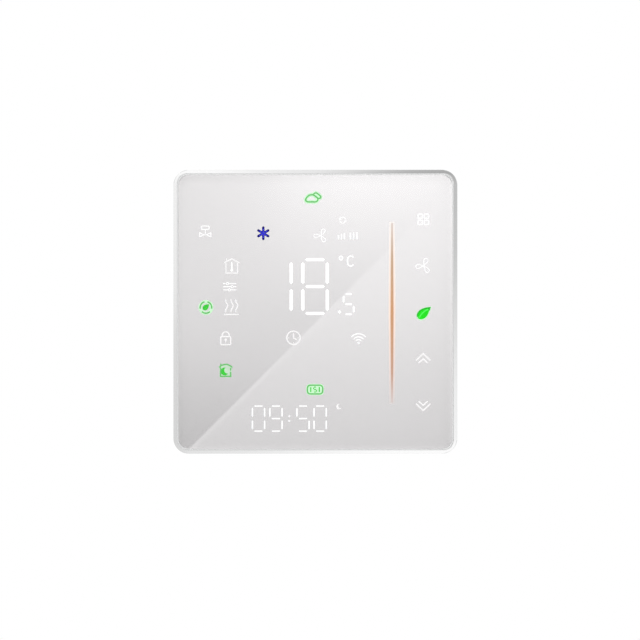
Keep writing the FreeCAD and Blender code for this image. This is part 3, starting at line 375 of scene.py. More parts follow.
# Edge rounding in millimetres; a node that isn't here gets SMALL_ROUNDING.
SMALL_ROUNDING = 0.06
ROUNDING = {
    "front_frame": 0.12,
    "rear_cover": 0.2,
    "power_box": 0.45,
    "power_box_lid": 0.15,
    "terminal_block": 0.15,
    "wall_tray": 0.12,
    "light_box": 0.1,
    "pin_header": 0.1,
    "header_socket": 0.12,
    "radio_shield": 0.25,
    "control_chip": 0.1,
    "transformer_core": 0.25,
    "transformer_coil": 0.5,
    "fuse": 0.4,
    "buzzer": 0.2,
}
# Thin sheets, wire and tiny chips, which keep their edges sharp.
SHARP = ("touch_springs", "mask_film", "diffuser_sheet", "glass_tape", "display_leds")


def finish_cad_nodes():
    """Gives each CAD node its finish, apart from the glass, which a piece stands for."""
    slots = {part["node"]: part["material_slot"] for part in frame["record"]["subparts"]}
    for name, node in NODES.items():
        if slots[name] == "glass":
            continue
        node.data.materials.clear()
        node.data.materials.append(FINISHES[slots[name]])
        if name not in SHARP:
            round_edges(node, ROUNDING.get(name, SMALL_ROUNDING))


def round_edges(obj, width):
    weld = obj.modifiers.new("weld", "WELD")
    weld.merge_threshold = 0.0005 * MM
    bevel = obj.modifiers.new("round", "BEVEL")
    bevel.width = width * MM
    bevel.segments = 2
    bevel.limit_method = "ANGLE"
    bevel.angle_limit = math.radians(35)
    bevel.use_clamp_overlap = True
    bevel.harden_normals = False
    for face in obj.data.polygons:
        face.use_smooth = True
    keep = obj.modifiers.new("normals", "WEIGHTED_NORMAL")
    keep.keep_sharp = True


# ---- meshes -----------------------------------------------------------------------------------


def add_object(name, data):
    made = bpy.data.objects.new(name, data)
    bpy.context.scene.collection.objects.link(made)
    return made


def add_piece(name, mesh):
    """A piece of the front unit."""
    piece = add_object(name, mesh)
    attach(piece, FRONT_UNIT)
    return piece


def heading(angle):
    return Vector((math.cos(angle), math.sin(angle)))


def circle(x, z, radius, steps):
    return [Vector((x, z)) + heading(2 * math.pi * i / steps) * radius for i in range(steps)]


def rounded_square(half, radius, steps=10):
    points = []
    for turn, (i, j) in enumerate(((1, 1), (-1, 1), (-1, -1), (1, -1))):
        middle = Vector((i, j)) * (half - radius)
        for step in range(steps + 1):
            points.append(middle + heading((turn + step / steps) * math.pi / 2) * radius)
    return points


def band(made, first, second, material=0):
    """Faces between two closed rings of as many points."""
    for i in range(len(first)):
        j = (i + 1) % len(first)
        made.faces.new((first[i], first[j], second[j], second[i])).material_index = material


def glass_plate():
    """The cover glass: a flat plate whose front edge is ground round all the way.

    It overlaps the CAD glass by a little, so that the seam round it is as narrow as in the photo.
    """
    low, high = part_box("front_glass")
    middle = (low + high) / 2
    overlap, chamfer, ground, corner, steps = 0.1 * MM, 0.08 * MM, 0.2 * MM, 3.38 * MM, 6
    half = half_width("front_glass") + overlap
    front, back = low.y, high.y
    levels = [(half - chamfer, back), (half, back - chamfer), (half, front + ground)]
    for step in range(1, steps + 1):
        angle = step / steps * math.pi / 2
        levels.append((half - ground * (1 - math.cos(angle)), front + ground * (1 - math.sin(angle))))
    made = bmesh.new()
    rings = []
    for reach, y in levels:
        outline = rounded_square(reach, corner - (half - reach))
        rings.append([made.verts.new((middle.x + p.x, y, middle.z + p.y)) for p in outline])
    for lower, upper in zip(rings, rings[1:]):
        band(made, lower, upper, 1)
    made.faces.new(rings[-1])
    made.faces.new(list(reversed(rings[0])))
    bmesh.ops.recalc_face_normals(made, faces=made.faces)
    mesh = bpy.data.meshes.new("glass_plate")
    made.to_mesh(mesh)
    made.free()
    for face in mesh.polygons:
        face.use_smooth = face.material_index == 1
    mesh.materials.append(clear_glass("cover_glass", 0.004))
    mesh.materials.append(clear_glass("ground_glass_edge", 0.04, frost=0.85))
    plate = add_piece("glass_plate", mesh)
    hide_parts("front_glass")


def stroke_sides(points, width, closed):
    """The left and right edges of a mitred stroke through points."""
    spots = [Vector(p) for p in points]
    left, right = [], []
    for i, spot in enumerate(spots):
        before = spots[i - 1] if closed or i else None
        after = spots[(i + 1) % len(spots)] if closed or i + 1 < len(spots) else None
        way_in = (spot - before).normalized() if before else (after - spot).normalized()
        way_out = (after - spot).normalized() if after else way_in
        along = (way_in + way_out).normalized()
        across = Vector((-along.y, along.x))
        reach = width / 2 / max(SHARPEST_MITRE, across.dot(Vector((-way_in.y, way_in.x))))
        left.append(spot + across * reach)
        right.append(spot - across * reach)
    return left, right


def round_end(end, inner, width):
    """Points round the end of a stroke, from its left to its right as seen from inside."""
    way = Vector(end) - Vector(inner)
    start = math.atan2(way.y, way.x) + math.pi / 2
    return [Vector(end) + heading(start - step * math.pi / 8) * width / 2 for step in range(1, 8)]


def smooth(points, steps=6, closed=True):
    """Points of a soft curve that passes through those given."""
    count = len(points)
    spots = [Vector(p) for p in points]
    curve = []
    for i in range(count if closed else count - 1):
        a = spots[i - 1 if closed or i else 0]
        b = spots[i]
        c = spots[(i + 1) % count]
        d = spots[(i + 2) % count if closed else min(i + 2, count - 1)]
        for step in range(steps):
            t = step / steps
            bend = (2 * a - 5 * b + 4 * c - d) * t**2 + (3 * b - a - 3 * c + d) * t**3
            curve.append(0.5 * (2 * b + (c - a) * t + bend))
    if not closed:
        curve.append(spots[-1])
    return curve


# ---- lit figures and symbols ------------------------------------------------------------------

SHARPEST_MITRE = 0.35
FILM_FRONT = -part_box("mask_film")[0].y / MM
BEHIND, AHEAD = -1, 1


class Window:
    """Lit windows of one colour in the print, drawn as thin plates just behind the glass.

    Lengths are in millimetres on the face, x right and z up of place. Each plate's front is a
    little ahead of the last one's, so that no two of a window share a plane.
    """

    BACK = FILM_FRONT + 0.006
    FRONT = FILM_FRONT + 0.028
    LAYER = 0.008  # between the fronts of windows that lie one over another
    STEP = 0.0003  # between the fronts of plates in one window

    def __init__(self, name, material, place=(0, 0), layer=0):
        self.name = name
        self.material = material
        self.place = Vector(place)
        self.front = self.FRONT + layer * self.LAYER
        self.mesh = bmesh.new()

    def vertex(self, point, depth):
        spot = Vector(point) + self.place
        return self.mesh.verts.new((spot.x * MM, -depth * MM, spot.y * MM))

    def plate(self, *loops):
        """A plate inside an outer loop, less what is inside a second loop of as many points."""
        fronts = [[self.vertex(p, self.front) for p in loop] for loop in loops]
        backs = [[self.vertex(p, self.BACK) for p in loop] for loop in loops]
        self.front += self.STEP
        for ahead, behind in zip(fronts, backs):
            band(self.mesh, ahead, behind)
        for side in (fronts, backs):
            if len(side) == 1:
                self.mesh.faces.new(side[0])
            else:
                band(self.mesh, *side)

    def line(self, points, width, blunt=False):
        """A stroke through points, with round ends unless it is blunt."""
        left, right = stroke_sides(points, width, False)
        head = [] if blunt else round_end(points[-1], points[-2], width)
        tail = [] if blunt else round_end(points[0], points[1], width)
        self.plate(left + head + list(reversed(right)) + tail)

    def loop(self, points, width):
        """A stroke that closes on itself."""
        self.plate(*stroke_sides(points, width, True))

    def arc(self, x, z, radius, start, end, width, blunt=False):
        """A stroke along a circle from one angle to another, in degrees."""
        steps = max(6, int(abs(end - start) / 9))
        angles = [math.radians(start + (end - start) * i / steps) for i in range(steps + 1)]
        self.line([Vector((x, z)) + heading(a) * radius for a in angles], width, blunt)

    def ring(self, x, z, radius, width, steps=40):
        self.loop(circle(x, z, radius, steps), width)

    def disc(self, x, z, radius, steps=28):
        self.plate(circle(x, z, radius, steps))

    def done(self):
        bmesh.ops.recalc_face_normals(self.mesh, faces=self.mesh.faces)
        mesh = bpy.data.meshes.new(self.name)
        self.mesh.to_mesh(mesh)
        self.mesh.free()
        mesh.materials.append(self.material)
        add_piece(self.name, mesh)


WHITE = lit("window_white", (1.0, 1.0, 1.0), 0.03)
SOFT_WHITE = lit("window_soft_white", (0.90, 0.89, 0.89), 0.03)
GREEN = lit("window_green", (0.015, 0.74, 0.012))
SOFT_GREEN = lit("window_soft_green", (0.15, 0.53, 0.155))
LEAF_GREEN = lit("window_leaf_green", (0.05, 0.60, 0.05))
RIM_GREEN = lit("window_rim_green", (0.02, 0.48, 0.03))
MINT = lit("window_mint", (0.60, 0.92, 0.61))
PALE_MINT = lit("window_pale_mint", (0.57, 0.73, 0.57))
PALE_GREEN = lit("window_pale_green", (0.10, 0.95, 0.12))
BLUE = lit("window_blue", (0.002, 0.002, 0.16))
PALE_BLUE = lit("window_pale_blue", (0.035, 0.035, 0.58))

# Which of the seven segments each figure lights.
LIT = {
    "0": ("top", "upper left", "upper right", "lower left", "lower right", "bottom"),
    "1": ("upper right", "lower right"),
    "5": ("top", "upper left", "middle", "lower right", "bottom"),
    "8": ("top", "upper left", "upper right", "middle", "lower left", "lower right", "bottom"),
    "9": ("top", "upper left", "upper right", "middle", "lower right", "bottom"),
}
LEVEL_STROKE = 0.9  # a level segment's thickness, as a share of an upright one's


def figure(window, digit, x, z, width, height, stroke, gap):
    """A seven-segment figure; width and height are between the middles of its strokes."""
    half = {"left": -width / 2, "right": width / 2}
    rows = {"top": height / 2, "middle": 0.0, "bottom": -height / 2}
    for name in LIT[digit]:
        if name in rows:
            segment(window, x, z + rows[name], width / 2 - gap, stroke * LEVEL_STROKE, True)
        else:
            part, side = name.split()
            middle = z + (1 if part == "upper" else -1) * height / 4
            segment(window, x + half[side], middle, height / 4 - gap, stroke, False)


def segment(window, x, z, half, stroke, level):
    """One level or upright segment: a bar with bevelled ends."""
    thick, shoulder = stroke / 2, half - stroke * 0.45
    bar = [(-half, 0), (-shoulder, thick), (shoulder, thick)]
    bar += [(half, 0), (shoulder, -thick), (-shoulder, -thick)]
    window.plate([(x + a, z + b) if level else (x + b, z + a) for a, b in bar])


def temperature_figures():
    window = Window("figure_temperature", WHITE)
    for digit, x in (("1", -11.05), ("8", -0.1)):
        figure(window, digit, x, 7.65, width=7.4, height=16.3, stroke=1.02, gap=0.72)
    window.disc(7.33, -0.05, 0.48)
    figure(window, "5", 10.1, 2.3, width=3.05, height=6.1, stroke=0.62, gap=0.44)
    window.done()
    window = Window("symbol_degree", WHITE)
    window.ring(7.75, 16.3, 0.5, 0.44, 24)
    bow = [(0.75, 1.2), (0.35, 1.48), (-0.3, 1.45), (-0.85, 0.95), (-0.95, 0.0)]
    bow += [(x, -z) for x, z in reversed(bow[:-1])]
    window.line(smooth([(10.7 + x, 15.4 + z) for x, z in bow], 4, False), 0.44)
    window.done()


def clock_figures():
    window = Window("figure_clock", WHITE)
    for digit, x in zip("0950", (-17.25, -11.95, -3.75, 1.45)):
        figure(window, digit, x, -32.4, width=3.7, height=7.6, stroke=0.44, gap=0.54)
    for z in (-31.65, -33.1):
        window.disc(-7.9, z, 0.29)
    window.done()


def weather_symbol():
    place = (-1.0, 34.3)
    cloud = [(-1.95, -0.45), (-1.55, 0.45), (-0.85, 1.02), (-0.1, 1.2), (0.6, 1.0), (1.15, 0.6)]
    cloud += [(1.68, 0.15), (1.7, -0.5), (1.1, -0.95), (0, -0.95), (-1.35, -0.95)]
    far = [(0.45, 1.35), (0.8, 1.68), (1.35, 1.7), (2.0, 1.25), (2.6, 0.65), (2.5, 0.2), (1.95, 0.05)]
    window = Window("symbol_weather_glow", MINT, place, BEHIND)
    window.loop(smooth(cloud), 1.1)
    window.line(smooth(far, 5, False), 1.0)
    window.done()
    window = Window("symbol_weather", SOFT_GREEN, place)
    window.loop(smooth(cloud), 0.44)
    window.line(smooth(far, 5, False), 0.42)
    window.done()


def valve_symbol():
    window = Window("symbol_valve", WHITE, (-33.4, 24.2))
    window.loop([(p.x * 1.15, 1.3 + p.y * 0.52) for p in rounded_square(1.0, 0.4, 4)], 0.28)
    window.line([(0, 0.6), (0, -0.55)], 0.22)
    for side in (-1, 1):
        window.loop([(side * 0.3, -0.85), (side * 1.7, -0.25), (side * 1.7, -1.45)], 0.25)
    window.done()


def cooling_symbol():
    """A six-armed flake whose arms are paler along their middles."""
    place = (-15.8, 23.8)
    arms = [heading(math.pi / 6 + arm * math.pi / 3) for arm in range(6)]
    window = Window("symbol_cooling", BLUE, place)
    for out in arms:
        window.line([out * 0.2, out * 1.72], 0.76)
    window.done()
    window = Window("symbol_cooling_heart", PALE_BLUE, place, AHEAD)
    for out in arms[:3]:
        window.line([out * -1.25, out * 1.25], 0.42)
    window.disc(0, 0, 0.55)
    window.done()


def fan_blades(window, reach, first, width):
    """Three drop-shaped blades drawn as outlines round a small hub; first is one's angle in degrees."""
    drop = [(0.14, 0.0), (0.46, 0.19), (0.78, 0.27), (0.98, 0.1), (0.93, -0.17), (0.55, -0.2)]
    for turn in (0, 120, 240):
        window.loop(smooth(turned([Vector(p) * reach for p in drop], first + turn), 5), width)
    window.disc(0, 0, 0.26)


def turned(points, degrees, x=0.0, z=0.0):
    """Points turned round the origin, then moved."""
    out, across = heading(math.radians(degrees)), heading(math.radians(degrees + 90))
    return [Vector((x, z)) + out * p.x + across * p.y for p in points]


def fan_symbols():
    window = Window("symbol_fan", WHITE, (1.7, 23.1))
    fan_blades(window, 2.15, 62, 0.22)
    window.done()
    window = Window("symbol_fan_bars", WHITE, (0, 21.95))
    for x, height in ((7.0, 1.35), (7.9, 1.7), (8.8, 1.95), (10.6, 2.05), (11.6, 2.1), (12.6, 2.15)):
        window.line([(x, 0), (x, height)], 0.4, True)
    window.done()
    window = Window("symbol_automatic", WHITE, (8.3, 27.8))
    for start in (20, 200):
        window.arc(0, 0, 0.9, start, start + 125, 0.24)
        arrow = [Vector(p) for p in ((0.9, 0.45), (1.3, -0.15), (0.5, -0.15))]
        window.plate(turned(arrow, start + 140))
    window.done()


def room_symbol():
    place = (-25.4, 13.7)
    window = Window("symbol_room", SOFT_WHITE, place)
    window.line([(-2.1, 1.25), (0.05, 2.35), (2.2, 1.25)], 0.38)
    window.line([(-1.7, 0.9), (-1.7, -1.95), (1.8, -1.95), (1.8, 0.9)], 0.34)
    window.line([(-1.5, 2.3), (-1.5, 1.95)], 0.34)
    window.done()
    window = Window("symbol_room_gauge", WHITE, place)
    window.line([(0.05, 1.15), (0.05, -1.0)], 0.46)
    window.disc(0.05, -1.1, 0.42)
    window.done()


def setting_symbol():
    """Three sliders, each with its knob in another place."""
    window = Window("symbol_setting", WHITE, (-26.0, 7.6))
    for z, knob in ((0.95, -0.7), (0.0, 0.8), (-0.95, -0.1)):
        window.line([(-1.9, z), (knob - 0.6, z)], 0.27)
        window.line([(knob + 0.6, z), (1.9, z)], 0.27)
        window.ring(knob, z, 0.35, 0.22, 20)
    window.done()


def heating_symbol():
    window = Window("symbol_heating", SOFT_WHITE, (-25.5, 1.4))
    wave = [(0, 2.3), (0.12, 1.55), (0.62, 0.75), (0.5, 0.0), (0.1, -0.75), (0, -1.4)]
    for x in (-1.75, -0.1, 1.3):
        window.line(smooth([(x + a, z) for a, z in wave], 4, False), 0.36)
    window.line([(-2.1, -2.2), (2.1, -2.2)], 0.34)
    window.done()


def leaf_outline(length, width):
    """A leaf from its stalk at the origin to its tip along +x."""
    half = [(0.0, 0.0), (0.08, 0.30), (0.28, 0.48), (0.52, 0.47), (0.78, 0.27), (1.0, 0.0)]
    upper = smooth([(a * length, b * width) for a, b in half], 5, False)
    return upper + [Vector((p.x, -p.y)) for p in reversed(upper[1:-1])]


def eco_symbol():
    place, radius = (-33.2, 1.3), 1.75
    window = Window("symbol_eco_glow", MINT, place, BEHIND)
    window.ring(0, 0, radius, 1.0)
    window.done()
    window = Window("symbol_eco_ring", SOFT_GREEN, place)
    for start in (-12, 104, 226):
        window.arc(0, 0, radius, start, start + 88, 0.44, True)
    window.done()
    window = Window("symbol_eco_leaf", LEAF_GREEN, place)
    window.plate(turned(leaf_outline(2.45, 1.6), 42, -0.85, -0.66))
    window.done()


def lock_symbol():
    window = Window("symbol_lock", SOFT_WHITE, (-27.2, -8.1))
    window.loop([(p.x, p.y * 0.82 - 0.65) for p in rounded_square(1.5, 0.4, 4)], 0.38)
    bow = [(-1.05, 0.75), (-1.0, 1.35), (-0.6, 1.85), (0, 2.05), (0.6, 1.85), (1.0, 1.35), (1.05, 0.75)]
    window.line(smooth(bow, 4, False), 0.38, True)
    window.disc(0, -0.4, 0.36)
    window.plate([(-0.17, -0.6), (0.17, -0.6), (0.1, -1.3), (-0.1, -1.3)])
    window.done()


def timer_symbol():
    window = Window("symbol_timer", SOFT_WHITE, (-6.65, -7.9))
    window.ring(0, 0, 2.02, 0.4)
    window.line([(0, 1.25), (0, 0), (0.95, -0.55)], 0.38)
    for x, z in ((1.45, 0), (-1.45, 0), (0, -1.45)):
        window.disc(x, z, 0.15, 12)
    window.done()


def wireless_symbol():
    window = Window("symbol_wireless", WHITE, (13.1, -9.6))
    window.disc(0, 0.15, 0.34)
    for radius, spread in ((1.05, 45), (1.9, 46), (2.85, 47)):
        window.arc(0, 0.1, radius, 90 + spread, 90 - spread, 0.33)
    window.done()


def night_symbol():
    """A moon in a house whose right wall is open."""
    place, left, right, floor_z = (-27.25, -17.8), -1.5, 1.55, -1.8
    window = Window("symbol_night_glow", PALE_MINT, place, BEHIND)
    window.plate([(-1.85, 1.25), (-0.9, 1.95), (1.0, 1.85), (1.9, 1.1), (1.9, -2.1), (-1.85, -2.1)])
    window.done()
    window = Window("symbol_night_house", SOFT_GREEN, place)
    roof = [(-1.85, 1.05), (-1.0, 1.6), (0.2, 1.85), (1.15, 1.55), (1.95, 1.0)]
    window.line(smooth(roof, 5, False), 0.42)
    window.line([(left, 0.75), (left, floor_z), (right, floor_z), (right, -0.6)], 0.42)
    window.line([(right, 0.6), (right, 0.1)], 0.42)
    window.line([(-1.45, 1.95), (-1.45, 1.6)], 0.36)
    window.done()
    window = Window("symbol_night_moon", LEAF_GREEN, (-27.5, -18.1))
    window.plate(crescent(1.2, 0.85, 0.35))
    window.done()


def crescent(radius, aside, above):
    """A moon: the rest of a disc after a smaller one, off to its upper right, is taken away."""
    bite, small = Vector((aside, above)), radius * 0.82
    reach = bite.length
    turn = math.acos((radius**2 + reach**2 - small**2) / (2 * radius * reach))
    lean = math.atan2(above, aside)
    outer_steps, inner_steps = 24, 18
    sweep = 2 * (math.pi - turn) / outer_steps
    outer = [heading(lean + turn + sweep * i) * radius for i in range(outer_steps + 1)]
    first, last = outer[-1] - bite, outer[0] - bite
    start, end = math.atan2(first.y, first.x), math.atan2(last.y, last.x)
    if start < end:
        start += 2 * math.pi
    sweep = (end - start) / inner_steps
    return outer + [bite + heading(start + sweep * i) * small for i in range(1, inner_steps)]


def weekday_symbol():
    """The day of the week as a number between two bars, in a rounded frame."""
    place, stretch = (-0.1, -23.6), 1.0
    pill = [Vector((math.copysign(stretch, p.x) + p.x, p.y)) for p in rounded_square(1.32, 0.9, 6)]
    window = Window("symbol_weekday_glow", MINT, place, BEHIND)
    window.plate([(p.x * 1.16, p.y * 1.3) for p in pill])
    window.done()
    window = Window("symbol_weekday_frame", SOFT_GREEN, place)
    window.loop(pill, 0.44)
    window.done()
    window = Window("symbol_weekday_figure", LEAF_GREEN, place)
    figure(window, "5", 0, 0, width=0.85, height=1.5, stroke=0.34, gap=0.08)
    for x in (-1.3, 1.3):
        window.line([(x, 0.6), (x, -0.6)], 0.36)
    window.done()


def half_day_symbol():
    window = Window("symbol_half_day", SOFT_WHITE, (7.2, -28.75))
    window.plate(crescent(0.85, 0.42, 0.2))
    window.done()


def menu_key():
    window = Window("key_menu", WHITE, (32.75, 28.05))
    for i in (-1, 1):
        for j in (-1, 1):
            window.loop([p + Vector((i, j)) * 0.95 for p in rounded_square(0.64, 0.2, 3)], 0.34)
    window.done()


def fan_key():
    window = Window("key_fan", WHITE, (32.85, 13.95))
    fan_blades(window, 2.4, 66, 0.23)
    window.done()


def leaf_key():
    """A leaf with a pale glow round it, a darker upper rim and a bright vein."""
    place = (32.8, -0.5)
    leaf = turned(leaf_outline(4.85, 2.65), 42, -1.65, -1.5)
    upper_rim = leaf[4:29]
    vein = smooth([(-1.2, -1.15), (-0.5, -0.1), (0.4, 0.7), (1.4, 1.25)], 4, False)
    window = Window("key_leaf_glow", MINT, place, BEHIND)
    window.loop(leaf, 0.62)
    window.done()
    window = Window("key_leaf", GREEN, place)
    window.plate(leaf)
    window.done()
    for name, colour, points, width in (
        ("key_leaf_rim", RIM_GREEN, upper_rim, 0.4),
        ("key_leaf_vein", PALE_GREEN, vein, 0.3),
    ):
        window = Window(name, colour, place, AHEAD)
        window.line(points, width)
        window.done()


def arrow_keys():
    """Double chevrons; way is 1 for up and -1 for down."""
    for name, z, way in (("key_up", -13.9, 1), ("key_down", -28.75, -1)):
        window = Window(name, SOFT_WHITE, (32.7, z))
        for half, foot, top in ((2.05, -0.75, 1.2), (1.25, -1.5, -0.4)):
            window.line([(-half, foot * way), (0, top * way), (half, foot * way)], 0.42)
        window.done()


def spindle(half, end, middle, steps=24):
    """A slim upright shape with half widths from its ends to its middle."""
    right = []
    for i in range(steps + 1):
        t = i / steps * 2 - 1
        right.append((end + (middle - end) * (1 - abs(t) ** 1.5), -t * half))
    return right + [(-x, z) for x, z in reversed(right)]


def accent_line():
    """A slim copper-coloured line with a pale glow beside it, between the display and the keys."""
    place = (23.25, -0.3)
    pale = ((0.0, (0.67, 0.63, 0.62)), (0.2, (0.79, 0.67, 0.63)), (0.5, (0.93, 0.75, 0.65)))
    pale += ((0.84, (0.93, 0.82, 0.76)), (1.0, (0.87, 0.84, 0.81)))
    copper = ((0.0, (0.64, 0.55, 0.53)), (0.16, (0.55, 0.34, 0.25)), (0.5, (0.60, 0.32, 0.17)))
    copper += ((0.8, (0.55, 0.39, 0.27)), (1.0, (0.70, 0.61, 0.56)))
    glow, line = 27.6, 27.2
    window = Window("accent_border", lit_upright("accent_border", glow, pale, 0.62), place)
    window.plate(spindle(glow, 0.8, 1.02))
    window.done()
    window = Window("accent_line", lit_upright("accent_copper", line, copper, 0.6), place, AHEAD)
    window.plate(spindle(line, 0.27, 0.46))
    window.done()


# ---- studio -----------------------------------------------------------------------------------


def studio_card(name, place, reach, brightness, hole=0.0):
    """A glowing board in front of the face that only reflections see, perhaps with a square hole.

    brightness(look) returns its brightness. The board's own x runs to the left of the face.
    """
    mesh = bpy.data.meshes.new(name)
    points = [(i * reach, j * reach, 0) for i, j in SQUARE]
    if hole:
        points += [(i * hole, j * hole, 0) for i, j in SQUARE]
        mesh.from_pydata(points, [], [(k, (k + 1) % 4, (k + 1) % 4 + 4, k + 4) for k in range(4)])
    else:
        mesh.from_pydata(points, [], [(0, 1, 2, 3)])
    card = add_object(name, mesh)
    card.location = place
    card.rotation_mode = "QUATERNION"
    card.rotation_quaternion = Vector((0, 1, 0)).to_track_quat("Z", "Y")
    look = Look(name)
    lamp = look.node("ShaderNodeEmission", {"Color": (1, 1, 1, 1), "Strength": brightness(look)})
    surface = lamp.outputs[0]
    if hole:
        clear = look.node("ShaderNodeBsdfTransparent").outputs[0]
        inner_fade, outer_fade = 0.03, 0.12
        out = look.reach_from_middle((0, 1))
        inner = look.spread(out, 0.0, 1.0, hole, hole + inner_fade)
        outer = look.spread(out, 1.0, 0.0, reach - outer_fade, reach)
        kept = look.joined("MULTIPLY", inner, outer)
        surface = look.node("ShaderNodeMixShader", {0: kept, 1: clear, 2: surface}).outputs[0]
    look.replace_shader(surface)
    mesh.materials.append(look.material)
    card.visible_camera = False
    card.visible_diffuse = False
    card.visible_transmission = False
    card.visible_shadow = False


def shaped(look, number, stops):
    """A number passed through a curve that is given as (input, output) stops."""
    low, high = stops[0][0], stops[-1][0]
    floor, top = min(v for _, v in stops), max(v for _, v in stops)
    curve = look.node("ShaderNodeFloatCurve", {"Value": look.spread(number, 0.0, 1.0, low, high)})
    points = curve.mapping.curves[0].points
    while len(points) < len(stops):
        points.new(0.5, 0.5)
    for point, (position, value) in zip(points, stops):
        point.location = ((position - low) / (high - low), (value - floor) / (top - floor))
        point.handle_type = "AUTO"
    curve.mapping.update()
    return look.spread(curve.outputs[0], floor, top, 0.0, 1.0)


def front_brightness(look):
    """The board straight in front of the face, which the print and the glass mirror.

    Its brightness is set out in the millimetres of the face that it is seen in. A slanting edge
    crosses it, where x is about 3.3 more than z. Above the edge the board brightens upwards and to
    the right. Below it the board brightens upwards and dims a little at the far right, and a lip of
    light follows the lower part of the edge.
    """
    overall = 0.945
    scale = 1 / MM / MIRRORED
    face = look.node("ShaderNodeSeparateXYZ", {"Vector": look.stretched(-scale, scale, 1.0)})
    x, z = face.outputs[0], face.outputs[1]
    height = ((-43, 0.545), (-27, 0.705), (-9, 0.915), (0, 0.985), (22, 1.075), (43, 1.14))
    aside = ((-43, 0.0), (-20, 0.16), (0, 0.39), (20, 0.46), (43, 0.28))
    share = ((-43, 0.2), (-20, 0.16), (-4, 0.0), (8, 0.15), (20, 0.4), (43, 0.95))
    rightwards = look.joined("MULTIPLY", shaped(look, x, aside), shaped(look, z, share))
    upper = look.joined("ADD", shaped(look, z, height), rightwards)
    lower = shaped(look, z, ((-43, 0.83), (-18, 1.015), (0, 1.175), (43, 1.49)))
    dimmer_right = shaped(look, x, ((-43, 0.0), (18, 0.0), (43, -0.10)))
    lower = look.joined("ADD", lower, dimmer_right)
    past_edge = look.joined("SUBTRACT", x, z)
    near_edge = look.spread(past_edge, 0.11, 0.0, 3.6, 6.0)
    lip = look.joined("MULTIPLY", near_edge, look.spread(z, 1.0, 0.0, -30.0, 12.0))
    lower = look.joined("ADD", lower, lip)
    below = look.spread(past_edge, 0.0, 1.0, 3.0, 3.6)
    whole = look.node("ShaderNodeMix", data_type="FLOAT")
    for socket, given in ((0, below), (2, upper), (3, lower)):
        look.feed(whole.inputs[socket], given)
    return look.joined("MULTIPLY", whole.outputs[0], overall)


def ring_brightness(look):
    """The board round the line of sight, which the frame's sloping rim mirrors, by angle round the face."""
    place = look.stretched(-1.0, 1.0, 1.0)
    turn = look.node("ShaderNodeTexGradient", {"Vector": place}, gradient_type="RADIAL")
    angle = look.spread(turn.outputs["Fac"], -180.0, 180.0, 0.0, 1.0)
    stops = [(-180, 0.98), (-165, 0.80), (-135, 0.85), (-105, 0.98), (-93, 1.12), (-80, 1.32)]
    stops += [(-45, 1.33), (-15, 1.18), (0, 0.85), (13, 0.56), (45, 0.38), (70, 0.33), (76, 0.37)]
    stops += [(81, 0.52), (90, 1.0), (97, 1.12), (103, 1.29), (135, 1.25), (165, 1.14), (180, 0.98)]
    return shaped(look, angle, stops)


def world_light():
    """Soft light all round, and white paper behind everything that the camera sees."""
    world = bpy.data.worlds.new("studio")
    bpy.context.scene.world = world
    world.use_nodes = True
    tree = world.node_tree
    soft = tree.nodes["Background"]
    paper = tree.nodes.new("ShaderNodeBackground")
    for background, strength in ((soft, 0.78), (paper, 1.0)):
        background.inputs["Color"].default_value = (1.0, 1.0, 1.0, 1.0)
        background.inputs["Strength"].default_value = strength
    rays = tree.nodes.new("ShaderNodeLightPath")
    mix = tree.nodes.new("ShaderNodeMixShader")
    tree.links.new(rays.outputs["Is Camera Ray"], mix.inputs[0])
    tree.links.new(soft.outputs[0], mix.inputs[1])
    tree.links.new(paper.outputs[0], mix.inputs[2])
    tree.links.new(mix.outputs[0], tree.nodes["World Output"].inputs["Surface"])


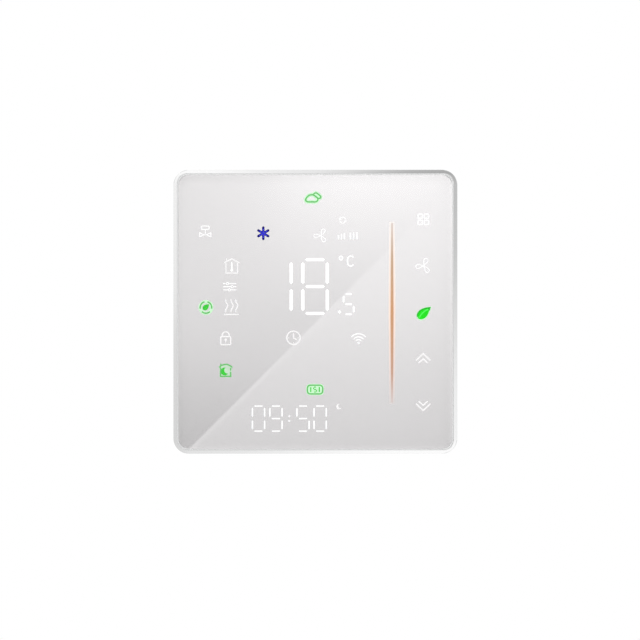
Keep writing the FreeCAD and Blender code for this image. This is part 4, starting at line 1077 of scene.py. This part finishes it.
def studio():
    world_light()
    add_area("key", (-0.5, -0.9, 0.8), 0.7, 5.0)
    add_area("fill", (0.9, -0.5, 0.2), 0.6, 1.2)
    add_area("rear", (0.3, 0.9, 0.5), 0.6, 3.0)
    studio_card("board_front", (-0.65 * MM, -0.513, 1.16 * MM), 0.085, front_brightness)
    studio_card("board_ring", (0, -0.16, 0), 0.35, ring_brightness, hole=0.1)
    floor()


def add_area(name, place, size, power):
    """A square lamp that looks at the origin and isn't seen in reflections."""
    data = bpy.data.lights.new(name, "AREA")
    data.shape = "SQUARE"
    data.size = size
    data.energy = power
    lamp = add_object(name, data)
    lamp.location = place
    lamp.rotation_mode = "QUATERNION"
    lamp.rotation_quaternion = (-Vector(place)).to_track_quat("-Z", "Y")
    lamp.visible_glossy = False


def floor():
    mesh = bpy.data.meshes.new("floor")
    reach, height = 1.8, -1.0
    mesh.from_pydata([(i * reach, j * reach, height) for i, j in SQUARE], [], [(0, 1, 2, 3)])
    look = Look("floor_paper")
    grain = look.noise(300.0, 4.0)
    look.set(Base_Color=look.blend(grain, (0.88, 0.88, 0.88, 1), (0.93, 0.93, 0.93, 1)), Roughness=0.9)
    look.set(Normal=look.bump(grain, 0.1 * MM, 0.2))
    mesh.materials.append(look.material)
    add_object("floor", mesh)


def camera():
    """A long lens straight in front, so far off that the object takes up its share of the width."""
    data = bpy.data.cameras.new("camera")
    data.sensor_width = 36.0
    data.lens = 200.0
    data.clip_start, data.clip_end = 0.01, 20.0
    object_share = 0.44375
    view = (cad_box[1].x - cad_box[0].x) / object_share
    distance = view * data.lens / data.sensor_width
    made = add_object("camera", data)
    right, down, face_off_wall = 1.4 * MM, 2.5 * MM, 13 * MM
    made.location = (right, -distance - face_off_wall, -down)
    made.rotation_euler = (math.pi / 2, 0, 0)
    bpy.context.scene.camera = made


def colour_management():
    scene = bpy.context.scene
    scene.view_settings.view_transform = "Standard"
    scene.view_settings.look = "None"


def main():
    camera()
    colour_management()
    studio()
    finish_cad_nodes()
    glass_plate()
    temperature_figures()
    clock_figures()
    weather_symbol()
    valve_symbol()
    cooling_symbol()
    fan_symbols()
    room_symbol()
    setting_symbol()
    heating_symbol()
    eco_symbol()
    lock_symbol()
    timer_symbol()
    wireless_symbol()
    night_symbol()
    weekday_symbol()
    half_day_symbol()
    menu_key()
    fan_key()
    leaf_key()
    arrow_keys()
    accent_line()


main()
